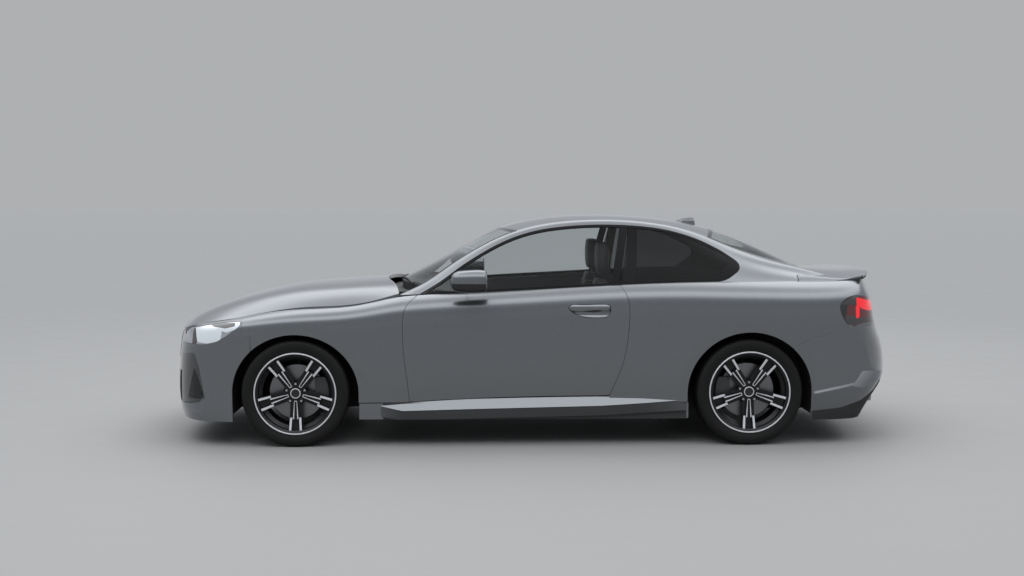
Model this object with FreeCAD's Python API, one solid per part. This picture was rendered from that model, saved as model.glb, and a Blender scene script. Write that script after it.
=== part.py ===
import FreeCAD, Part
import math
import os

# A two-door coupe car in millimetres.  It faces -X, its left side is at -Y, +Z is up.
# The origin is on the ground, at mid-length, in the centre plane.

os.makedirs("parts", exist_ok=True)
V = FreeCAD.Vector

# Driving dimensions
LENGTH = 4537.0
WHEELBASE = 2741.0
FRONT_OVERHANG = 826.0
WHEEL_R = 322.0
TYRE_Y = 790.0
HUB_BORE_R = 22.0
PIN_CLEARANCE = 0.05
DISC_R = 168.0
LINER_T = 4.0
LINER_GAP = 12.0
LINER_OUT = 845.0
LINER_LOW = 181.0
WALL_X = -893.0
WALL_T = 12.0
KICK_X = 1012.0
PAN_LOW = 168.0
WALL_TOP = 460.0
PAN_SIDE = 700.0
TUNNEL_Y = 140.0
TUNNEL_TOP = 330.0
TUNNEL_T = 15.0
PAN_TOP = 180.0
BOOT_Z = 345.0
FRONT_WELL_Y = 472.0
SILL_TOP = 262.0
REAR_WELL_Y = 599.0
SHUT_GAP = 7.0
SEAT_GAP = 0.3
PANEL = 22.0
FENDER_T = 4.0
GLASS_T = 5.0
RAIL_T = 48.0
BUMPER_T = 26.0

HINGE_X = -700.0
HINGE_Y = -838.0
HINGE_Z = (420.0, 720.0)
HINGE_TILT = 2.0
PIN_R = 6.0
DOOR_IN = -758.0
LID_HALF = 606.0
LID_LOW = 424.0
HOOD_X = -790.0
HOOD_Y = 620.0
HOOD_Z = 893.0
HINGE_PLAY = 11.0
EAR_T = 13.0

NOSE_X = -LENGTH / 2
TAIL_X = LENGTH / 2
FRONT_X = NOSE_X + FRONT_OVERHANG
REAR_X = FRONT_X + WHEELBASE
ARCH_HALF_F = 380.0
ARCH_RISE_F = 357.0
ARCH_HALF_R = 378.0
ARCH_RISE_R = 366.0

# Lower body in plan, half a car from the nose round to the tail.
# Columns: x, widest y, inset of y at sill height, height of the top edge, y of the top edge,
# weight of the nose profile, weight of the tail profile
RING = [
    (NOSE_X - 8, 0, 0, 700, 0, 1, 0),
    (NOSE_X, 180, 0, 700, 180, 1, 0),
    (NOSE_X + 17, 340, 0, 703, 338, 1, 0),
    (NOSE_X + 45, 485, 0, 709, 478, 1, 0),
    (NOSE_X + 76, 608, 0, 718, 592, 1, 0),
    (NOSE_X + 124, 718, 2, 727, 688, 1, 0),
    (NOSE_X + 203, 803, 4, 737, 752, 0.8, 0),
    (NOSE_X + 300, 850, 8, 749, 776, 0.55, 0),
    (NOSE_X + 410, 876, 12, 764, 783, 0.3, 0),
    (NOSE_X + 530, 897, 16, 784, 784, 0.1, 0),
    (FRONT_X - 150, 908, 18, 808, 783, 0, 0),
    (FRONT_X, 914, 20, 826, 782, 0, 0),
    (FRONT_X + 160, 909, 20, 833, 781, 0, 0),
    (FRONT_X + 320, 898, 22, 841, 779, 0, 0),
    (FRONT_X + 480, 891, 24, 868, 776, 0, 0),
    (FRONT_X + 620, 888, 26, 898, 770, 0, 0),
    (FRONT_X + 790, 886, 28, 909, 779, 0, 0),
    (FRONT_X + 1020, 886, 28, 919, 791, 0, 0),
    (FRONT_X + 1290, 887, 28, 933, 798, 0, 0),
    (FRONT_X + 1570, 888, 28, 949, 803, 0, 0),
    (FRONT_X + 1860, 891, 28, 965, 806, 0, 0),
    (FRONT_X + 2140, 897, 26, 977, 808, 0, 0),
    (REAR_X - 350, 908, 24, 984, 806, 0, 0),
    (REAR_X - 150, 918, 22, 986, 800, 0, 0),
    (REAR_X, 921, 22, 987, 792, 0, 0),
    (REAR_X + 150, 920, 22, 987, 780, 0, 0),
    (REAR_X + 320, 914, 22, 986, 766, 0, 0),
    (REAR_X + 480, 902, 22, 986, 752, 0, 0),
    (REAR_X + 610, 884, 22, 988, 740, 0, 0.2),
    (REAR_X + 720, 856, 20, 992, 724, 0, 0.5),
    (TAIL_X - 160, 808, 16, 998, 700, 0, 0.8),
    (TAIL_X - 104, 735, 8, 1002, 655, 0, 1),
    (TAIL_X - 68, 630, 4, 1005, 585, 0, 1),
    (TAIL_X - 42, 495, 0, 1008, 470, 0, 1),
    (TAIL_X - 17, 345, 0, 1010, 335, 0, 1),
    (TAIL_X, 180, 0, 1011, 178, 0, 1),
    (TAIL_X + 8, 0, 0, 1011, 0, 0, 1),
]
# Nose and tail seen from the side: height, distance behind the foremost or rearmost point
NOSE_PROFILE = [(150, 30), (215, 6), (290, 0), (350, 0), (445, 5), (509, 9), (572, 17), (635, 27),
                (690, 42), (720, 62), (770, 90)]
TAIL_PROFILE = [(150, 150), (245, 104), (290, 66), (330, 38), (367, 14), (395, 0), (430, 2),
                (545, 11), (594, 19), (632, 32), (670, 52), (708, 72), (780, 84), (833, 78),
                (877, 92), (934, 118), (1011, 150)]
LOWER_LEVELS = [150, 200, 280, 380, 490, 600]
UPPER_SHARES = [0.3, 0.6, 0.82, 0.94, 1.0]
LOWER_INSET = [1.7, 1.25, 1.0, 0.6, 0.2, 0.0]
UPPER_INSET = [0.0, 0.03, 0.12, 0.5, 1.0]

# Glasshouse, one row per station from the cowl to the deck.
# Columns: x and z on the centre line, x at the side, y and z of the rail, y and z of the belt
HOUSE = [
    (-1060, 880, -900, 752, 820, 780, 780),
    (-960, 925, -805, 750, 862, 778, 830),
    (-860, 970, -705, 742, 905, 772, 880),
    (-760, 1017, -605, 722, 962, 776, 908),
    (-640, 1079, -500, 700, 1047, 782, 914),
    (-480, 1163, -350, 672, 1142, 790, 922),
    (-330, 1247, -215, 640, 1214, 796, 930),
    (-200, 1314, -105, 620, 1256, 800, 935),
    (-50, 1352, 15, 608, 1291, 803, 941),
    (170, 1387, 190, 602, 1320, 806, 950),
    (450, 1395, 450, 600, 1333, 809, 965),
    (740, 1381, 725, 604, 1315, 809, 976),
    (980, 1350, 930, 611, 1274, 804, 983),
    (1170, 1310, 1090, 622, 1212, 798, 985),
    (1350, 1246, 1250, 646, 1130, 790, 986),
    (1550, 1157, 1450, 674, 1070, 780, 987),
    (1750, 1058, 1650, 680, 1032, 762, 985),
    (1850, 1006, 1760, 676, 1005, 750, 975),
    (1950, 955, 1860, 670, 975, 735, 960),
]

# Bonnet skin.  Columns: x at the centre, z at the centre, z at the ridge, z at the shoulder,
# z at the shut line
BONNET = [
    (NOSE_X + 30, 694, 690, 686, 682),
    (NOSE_X + 62, 722, 708, 700, 692),
    (NOSE_X + 110, 760, 738, 722, 708),
    (NOSE_X + 190, 798, 772, 748, 722),
    (NOSE_X + 290, 835, 808, 776, 740),
    (NOSE_X + 420, 874, 850, 812, 760),
    (NOSE_X + 560, 909, 888, 850, 786),
    (NOSE_X + 700, 937, 917, 882, 808),
    (FRONT_X, 954, 935, 903, 827),
    (FRONT_X + 180, 966, 947, 917, 832),
    (FRONT_X + 360, 977, 958, 928, 846),
    (FRONT_X + 500, 985, 966, 936, 876),
    (FRONT_X + 600, 990, 971, 942, 905),
    (FRONT_X + 700, 994, 975, 946, 925),
]
BONNET_Y = (0, 200, 400, 560, 680, 748, 800)

# Deck skin: x at the centre, z at the centre, z at y 500, z at y 690
DECK = [
    (1700, 1062, 1050, 1022),
    (1780, 1055, 1046, 1020),
    (1880, 1047, 1038, 1012),
    (1980, 1042, 1030, 1004),
    (2070, 1038, 1026, 1000),
    (2130, 1039, 1032, 1008),
    (2180, 1041, 1036, 1016),
    (2212, 1042, 1038, 1020),
]
DECK_Y = (0, 250, 480, 600, 720)


def save(name, shape):
    shape = shape.removeSplitter() if shape.ShapeType != "Compound" else shape
    if not shape.isValid():
        print("not valid:", name)
    shape.exportStep("parts/" + name + ".step")
    print("%-22s %2d solids, %7.1f litres" % (name, len(shape.Solids), shape.Volume / 1e6))


def tilted(shape):
    """Leans a door hinge's pin inwards at the top."""
    middle = V(HINGE_X, HINGE_Y, (HINGE_Z[0] + HINGE_Z[1]) / 2)
    return shape.rotated(middle, V(1, 0, 0), -HINGE_TILT)


def mirror(shape):
    return shape.mirror(V(0, 0, 0), V(0, 1, 0))


def lerp_table(table, z):
    for (z0, a), (z1, b) in zip(table, table[1:]):
        if z <= z1:
            share = max(0.0, (z - z0) / (z1 - z0))
            return a + (b - a) * share
    return table[-1][1]


def net_face(net):
    """Clamped uniform cubic face on a net of poles."""
    nu = len(net)
    nv = len(net[0])
    surface = Part.BSplineSurface()
    mu = [4] + [1] * (nu - 4) + [4]
    mv = [4] + [1] * (nv - 4) + [4]
    surface.buildFromPolesMultsKnots(net, mu, mv, list(range(len(mu))), list(range(len(mv))),
                                     False, False, 3, 3)
    return surface.toShape()


def moved_net(net, depth):
    """The same net, moved along its normals, into the car."""
    nu = len(net)
    nv = len(net[0])
    out = []
    vote = 0
    for i in range(nu):
        row = []
        for j in range(nv):
            du = net[min(i + 1, nu - 1)][j] - net[max(i - 1, 0)][j]
            dv = net[i][min(j + 1, nv - 1)] - net[i][max(j - 1, 0)]
            n = du.cross(dv)
            n.normalize()
            row.append(n)
            core = V(max(-1500, min(1500, net[i][j].x)), 0, 500)
            vote += 1 if n.dot(core - net[i][j]) > 0 else -1
        out.append(row)
    sign = depth if vote > 0 else -depth
    return [[p + n * sign for p, n in zip(a, b)] for a, b in zip(net, out)]


def thick(net, depth):
    """Solid between a net's face and the face a wall thickness away."""
    outer = net_face(net)
    inner_net = moved_net(net, depth)
    inner = net_face(inner_net)

    def edge(points):
        n = len(points)
        curve = Part.BSplineCurve()
        mults = [4] + [1] * (n - 4) + [4]
        curve.buildFromPolesMultsKnots(points, mults, list(range(len(mults))), False, 3)
        return curve.toShape()

    def border(a, b):
        return Part.makeRuledSurface(edge(a), edge(b))

    sides = [
        border(net[0], inner_net[0]),
        border(net[-1], inner_net[-1]),
        border([r[0] for r in net], [r[0] for r in inner_net]),
        border([r[-1] for r in net], [r[-1] for r in inner_net]),
    ]
    shell = Part.makeShell([outer, inner] + sides)
    shell.sewShape()
    solid = Part.makeSolid(shell)
    if solid.Volume < 0:
        solid.reverse()
    return solid


def outline(parts, place):
    """Closed face.  Each part is a list of 2D points: two make a line, more make a smooth curve."""
    edges = []
    for part in parts:
        points = [place(a, b) for a, b in part]
        if len(points) == 2:
            edges.append(Part.makeLine(points[0], points[1]))
        else:
            curve = Part.BSplineCurve()
            curve.interpolate(points)
            edges.append(curve.toShape())
    return Part.Face(Part.Wire(edges))


def side_prism(parts, y0, y1):
    return outline(parts, lambda x, z: V(x, y0, z)).extrude(V(0, y1 - y0, 0))


def top_prism(parts, z0, z1):
    return outline(parts, lambda x, y: V(x, y, z0)).extrude(V(0, 0, z1 - z0))


def box(x0, x1, y0, y1, z0, z1):
    return Part.makeBox(x1 - x0, y1 - y0, z1 - z0, V(x0, y0, z0))


def rod(a, b, r):
    a = V(*a)
    b = V(*b)
    return Part.makeCylinder(r, (b - a).Length, a, b - a)


def arch(x, half, rise, y0, y1, down=0.0):
    """Wheel opening: an arc over the axle with straight sides below."""
    middle = V(x, y0, WHEEL_R)
    side = V(x + half, y0, WHEEL_R)
    top = V(x, y0, WHEEL_R + rise)
    longer, shorter = (side, top) if half > rise else (top, side)
    ellipse = Part.Ellipse(longer, shorter, middle)
    face = Part.Face(Part.Wire([ellipse.toShape()]))
    return face.extrude(V(0, y1 - y0, 0)).fuse(
        box(x - half, x + half, y0, y1, down, WHEEL_R)).removeSplitter()


def ring_point(col, level):
    x, y, inset, z_top, y_top, nose, tail = RING[col]
    if level < len(LOWER_LEVELS):
        z = LOWER_LEVELS[level]
        y_at = y - inset * LOWER_INSET[level]
    else:
        k = level - len(LOWER_LEVELS)
        base = LOWER_LEVELS[-1]
        z = base + (z_top - base) * UPPER_SHARES[k]
        y_at = y - (y - y_top) * UPPER_INSET[k]
    x += nose * lerp_table(NOSE_PROFILE, z) - tail * lerp_table(TAIL_PROFILE, z)
    return V(x, y_at, z)


LEVELS = len(LOWER_LEVELS) + len(UPPER_SHARES)


def ring_net(first, last, both=False):
    """Poles of the lower body between two columns of the table, on the left or on both sides."""
    columns = []
    for c in range(first, last):
        columns.append([ring_point(c, k) for k in range(LEVELS)])
    left = [[V(p.x, -p.y, p.z) for p in col] for col in columns]
    if not both:
        return left
    if first == 0:
        return list(reversed(left))[:-1] + columns
    return left[:-1] + list(reversed(columns))


def house_row(station):
    xc, zc, xs, yr, zr, yb, zb = station
    rows = []
    edge_y = yr - 45
    edge_z = zr + 34
    edge_x = xs - (xs - xc) * 0.12
    # centre to roof edge
    for share in (0.0, 0.38, 0.7, 0.9):
        y = edge_y * share
        s2 = share * share
        rows.append(V(xc + (edge_x - xc) * s2, y, zc + (edge_z - zc) * s2 * (0.75 + 0.25 * share)))
    rows.append(V(edge_x, edge_y, edge_z))
    rows.append(V(xs, yr - 18, zr + 18))
    rows.append(V(xs, yr, zr - 4))
    bulge = 8
    rows.append(V(xs, yr + (yb - yr) * 0.36 + bulge, zr + (zb - zr) * 0.33))
    rows.append(V(xs, yr + (yb - yr) * 0.72 + bulge, zr + (zb - zr) * 0.67))
    rows.append(V(xs, yb, zb))
    rows.append(V(xs, yb + 12, zb - 30))
    return rows


def house_net():
    net = []
    for station in HOUSE:
        half = house_row(station)
        left = [V(p.x, -p.y, p.z) for p in reversed(half)]
        net.append(left[:-1] + half)
    return net


def bonnet_net():
    net = []
    for i, (x, z0, z1, z2, z3) in enumerate(BONNET):
        half = []
        heights = (z0, z0 - (z0 - z1) * 0.15, z0 - (z0 - z1) * 0.45, z1, z2, (z2 + z3) / 2, z3)
        fade = max(0.0, 1 - i / 6.0)
        for y, z in zip(BONNET_Y, heights):
            bend = (0.2 * fade + 0.16 * (1 - fade) * (i / 13.0)) * y * y / 1000
            half.append(V(x + bend, y, z))
        left = [V(p.x, -p.y, p.z) for p in reversed(half)]
        net.append(left[:-1] + half)
    return net


def deck_net():
    net = []
    for i, (x, z0, z1, z2) in enumerate(DECK):
        half = []
        bend = 0.16 + 0.2 * i / (len(DECK) - 1)
        heights = (z0, z0 - (z0 - z1) * 0.25, z1, (z1 + z2) / 2, z2)
        for y, z in zip(DECK_Y, heights):
            half.append(V(x - bend * y * y / 1000, y, z))
        left = [V(p.x, -p.y, p.z) for p in reversed(half)]
        net.append(left[:-1] + half)
    return net


# Side-view lines of the left side, x and z
DOOR_FRONT = [(-706, 909), (-742, 880), (-771, 850), (-789, 805), (-796, 745), (-796, 660),
              (-786, 520), (-770, 390), (-757, 268)]
DOOR_REAR = [(447, 304), (483, 382), (515, 460), (542, 560), (559, 680), (566, 790), (561, 870),
             (545, 920), (514, 968)]
DOOR_BOTTOM = [(-757, 268), (-400, 287), (447, 304)]
BELT = [(-706, 909), (-513, 914), (-210, 930), (93, 946), (514, 968)]
BELT_REAR = [(514, 968), (750, 977), (1000, 984), (1100, 985)]
DLO_TOP = [(-700, 911), (-576, 985), (-453, 1074), (-331, 1151), (-208, 1217), (-82, 1267),
           (42, 1299), (166, 1317), (290, 1327), (415, 1331), (539, 1329), (664, 1321), (789, 1305),
           (914, 1276), (1039, 1232), (1165, 1168)]
DLO_TIP = [(1165, 1168), (1232, 1122), (1262, 1088), (1262, 1066), (1228, 1032), (1165, 996),
           (1100, 985)]
B_LINE_TOP = (588, 1326)
B_LINE_LOW = (514, 968)


def door_outline(g):
    """Door in side view, grown by g on every side but the belt."""
    front = [(x - g, z) for x, z in DOOR_FRONT]
    rear = [(x + g, z) for x, z in DOOR_REAR]
    front[-1] = (front[-1][0], front[-1][1] - g)
    rear[0] = (rear[0][0], rear[0][1] - g)
    bottom = [front[-1]] + [(x, z - g) for x, z in DOOR_BOTTOM[1:-1]] + [rear[0]]
    belt = [rear[-1]] + list(reversed(BELT[1:-1])) + [front[0]]
    return [front, bottom, rear, belt]


def window_outline():
    """Whole side window, from the front pillar to the tip in the rear pillar."""
    under = [(x, z - 20) for x, z in (DLO_TIP[-1], (514, 968), (-513, 914), (-700, 911))]
    return [DLO_TOP, DLO_TIP, [DLO_TIP[-1], under[0]], under, [under[-1], DLO_TOP[0]]]


def screen_edge(x):
    """Half width of the glass and roof seen from above."""
    return lerp_table([(-1000, 690), (-705, 672), (-500, 640), (-215, 585), (-60, 566), (200, 556),
                       (700, 556), (1000, 562), (1300, 570), (1650, 566), (2000, 560)], x)


def across(x, bend, g):
    """Line across the car, bowed in plan, from the left edge to the right edge."""
    pts = []
    for k in range(-3, 4):
        y = k / 3.0
        xs = x + bend * y * y
        pts.append((xs, y * (screen_edge(x + bend) + g)))
    return pts


def between(x0, b0, x1, b1, g):
    """Outline seen from above, between two bowed lines, grown by g."""
    a = across(x0, b0, g)
    b = across(x1, b1, g)
    mid = [(x, screen_edge(x) + g) for x in
           [a[-1][0] + (b[-1][0] - a[-1][0]) * s for s in (0.25, 0.5, 0.75)]]
    right = [a[-1]] + mid + [b[-1]]
    left = [b[0]] + [(x, -y) for x, y in reversed(mid)] + [a[0]]
    return [a, right, list(reversed(b)), left]


WINDSCREEN = (-838, 150, -196, 98)
ROOF = (-196, 98, 1162, -74)
REAR_GLASS = (1162, -74, 1748, -92)


# Lamps, side view
HEADLAMP = [
    [(-2400, 820), (-1764, 820)],
    [(-1764, 820), (-1764, 748)],
    [(-1764, 748), (-1776, 722), (-1825, 685), (-1886, 646), (-1947, 620), (-2008, 612)],
    [(-2008, 612), (-2400, 612)],
    [(-2400, 612), (-2400, 820)],
]
TAIL_LAMP = [
    [(1887, 820), (1899, 848), (1930, 876), (1970, 898)],
    [(1970, 898), (2400, 898)],
    [(2400, 898), (2400, 740.7)],
    [(2400, 740.7), (2040, 740.7), (1990, 734.7), (1936, 718.7)],
    [(1936, 718.7), (1915, 724), (1887, 820)],
]
SIDE_INTAKE = [
    [(-2400, 440), (-2100, 440)],
    [(-2100, 440), (-2062, 390), (-2040, 320), (-2022, 245)],
    [(-2022, 245), (-2400, 245)],
    [(-2400, 245), (-2400, 440)],
]
LAMP_INNER_F = 470
LAMP_INNER_R = 430
INTAKE_INNER = 585


def slat_prism(y0, y1, z0, z1, cut, x0=-2400, x1=-2080):
    """Opening in the nose, seen from the front, with cut corners."""
    pts = [(y0 + cut, z0), (y1 - cut, z0), (y1, z0 + cut), (y1, z1 - cut), (y1 - cut, z1),
           (y0 + cut, z1), (y0, z1 - cut), (y0, z0 + cut)]
    wire = Part.makePolygon([V(x0, y, z) for y, z in pts] + [V(x0, pts[0][0], pts[0][1])])
    return Part.Face(wire).extrude(V(x1 - x0, 0, 0))


GRILLE = (22, 330, 455, 655, 46)
LOW_INTAKE = (-500, 500, 215, 385, 40)


def bonnet_line(g):
    """Bonnet seen from above, grown by g."""
    nose = [(NOSE_X + 46 + 0.2 * y * y / 1000 - g, y) for y in (-640, -420, -210, 0, 210, 420, 640)]
    corner = [nose[-1], (-2080 - g * 0.7, 700 + g * 0.7), (-1960, 752 + g), (-1800, 778 + g)]
    side = [(-1800, 778 + g), (-1442, 781 + g), (-1000, 775 + g), (-826 + g, 742 + g)]
    rear = [(-826 + g, 742 + g), (-850 + g, 600), (-890 + g, 420), (-920 + g, 210), (-932 + g, 0)]
    rear += [(x, -y) for x, y in reversed(rear[:-1])]
    return [nose, corner, side, rear, [(x, -y) for x, y in reversed(side)],
            [(x, -y) for x, y in reversed(corner)]]


def bonnet_space():
    """What the shut bonnet takes up, with a gap all round."""
    under = net_face(moved_net(bonnet_net(), PANEL + 5)).extrude(V(0, 0, 400))
    edge = thick(moved_net(bonnet_net(), -4), PANEL + 8)
    return under.fuse(edge).common(top_prism(bonnet_line(4), 500, 1500))


def front_end(front_hole):
    skin = thick(ring_net(0, 16, True), BUMPER_T)
    keep = [
        [(-2400, 100), (-1730, 100)],
        [(-1730, 100), (-1730, 560)],
        [(-1730, 560), (FRONT_X - 262, 600)],
        [(FRONT_X - 262, 600), (FRONT_X - 266, 666)],
        [(FRONT_X - 266, 666), (-1763, 700)],
        [(-1763, 700), (-1763, 1000)],
        [(-1763, 1000), (-2400, 1000)],
        [(-2400, 1000), (-2400, 100)],
    ]
    bonnet_zone = bonnet_space()
    bumper = skin.common(side_prism(keep, -1000, 1000)).cut(front_hole).cut(bonnet_zone)
    backing = thick(moved_net(ring_net(0, 16, True), BUMPER_T + SEAT_GAP), 10)
    lamp_skin = thick(moved_net(ring_net(0, 16, True), 1.5), 40)
    lamps = []
    screens = []
    for s in (-1, 1):
        lamp_hole = side_prism(HEADLAMP, s * 1000, s * LAMP_INNER_F)
        bumper = bumper.cut(lamp_hole)
        lamp = lamp_skin.common(side_prism(HEADLAMP, s * 1000, s * (LAMP_INNER_F + SEAT_GAP)))
        lamp = lamp.common(box(-2400, -1764.5, -1000, 1000, 612.3, 820)).cut(bonnet_zone)
        lamps.append(lamp)
        hole = side_prism(SIDE_INTAKE, s * 1000, s * INTAKE_INNER)
        bumper = bumper.cut(hole)
        wide = [[(-2400, 452), (-2090, 452)], [(-2090, 452), (-2010, 235)],
                [(-2010, 235), (-2400, 235)], [(-2400, 235), (-2400, 452)]]
        screens.append(backing.common(side_prism(wide, s * 1000, s * (INTAKE_INNER - 12))))
    y0, y1, z0, z1, cut = GRILLE
    for s in (-1, 1):
        lo, hi = (y0, y1) if s > 0 else (-y1, -y0)
        bumper = bumper.cut(slat_prism(lo, hi, z0, z1, cut))
        ring = thick(moved_net(ring_net(0, 16, True), -7), BUMPER_T + 20)
        opening = slat_prism(lo + 0.3, hi - 0.3, z0 + 0.3, z1 - 0.3, cut)
        frame = ring.common(opening)
        frame = frame.cut(slat_prism(lo + 13, hi - 13, z0 + 13, z1 - 13, cut - 5))
        bars = thick(moved_net(ring_net(0, 16, True), 6), BUMPER_T - 2)
        count = 8
        pitch = (hi - lo - 26) / count
        for k in range(count):
            y = lo + 13 + pitch * (k + 0.5)
            bar = bars.common(box(-2400, -2080, y - 5, y + 5, z0 + 6, z1 - 6))
            frame = frame.fuse(bar.common(opening))
        back = thick(moved_net(ring_net(0, 16, True), BUMPER_T + 2), 7)
        frame = frame.fuse(back.common(opening))
        screens.append(frame)
    y0, y1, z0, z1, cut = LOW_INTAKE
    bumper = bumper.cut(slat_prism(y0, y1, z0, z1, cut))
    low = backing.common(slat_prism(y0 - 12, y1 + 12, z0 - 12, z1 + 12, cut))
    rows = thick(moved_net(ring_net(0, 16, True), 10), BUMPER_T)
    for z in (258, 300, 342):
        row = rows.common(box(-2400, -2080, y0 + 1, y1 - 1, z - 4, z + 4))
        low = low.fuse(row.common(slat_prism(y0 + 1, y1 - 1, z0 + 1, z1 - 1, cut)))
    screens.append(low)
    save("front_bumper", bumper)
    save("headlamps", Part.makeCompound(lamps))
    save("grille", Part.makeCompound(screens))
    return bumper


def rear_end(rear_hole):
    skin = thick(ring_net(20, 37, True), BUMPER_T)
    keep = [
        [(1500, 100), (2400, 100)],
        [(2400, 100), (2400, 738)],
        [(2400, 738), (2040, 738), (1990, 732), (1936, 716)],
        [(1936, 716), (1640, 636)],
        [(1640, 636), (1500, 560)],
        [(1500, 560), (1500, 100)],
    ]
    bumper = skin.common(side_prism(keep, -1000, 1000)).cut(rear_hole)
    recess = box(2100, 2400, -270, 270, 445, 575)
    plate_seat = thick(moved_net(ring_net(20, 37, True), 14), BUMPER_T).common(
        box(2100, 2400, -280, 280, 435, 585))
    bumper = bumper.cut(recess).fuse(plate_seat)
    for s in (-1, 1):
        bumper = bumper.cut(rod((2000, s * 560, 255), (2400, s * 560, 255), 44))
    save("rear_bumper", bumper)
    lamp_skin = thick(moved_net(ring_net(20, 37, True), 1.5), 40)
    lamps = []
    for s in (-1, 1):
        prism = side_prism(TAIL_LAMP, s * 1000, s * LAMP_INNER_R)
        lamps.append(lamp_skin.common(prism))
    save("tail_lamps", Part.makeCompound(lamps))


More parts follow.
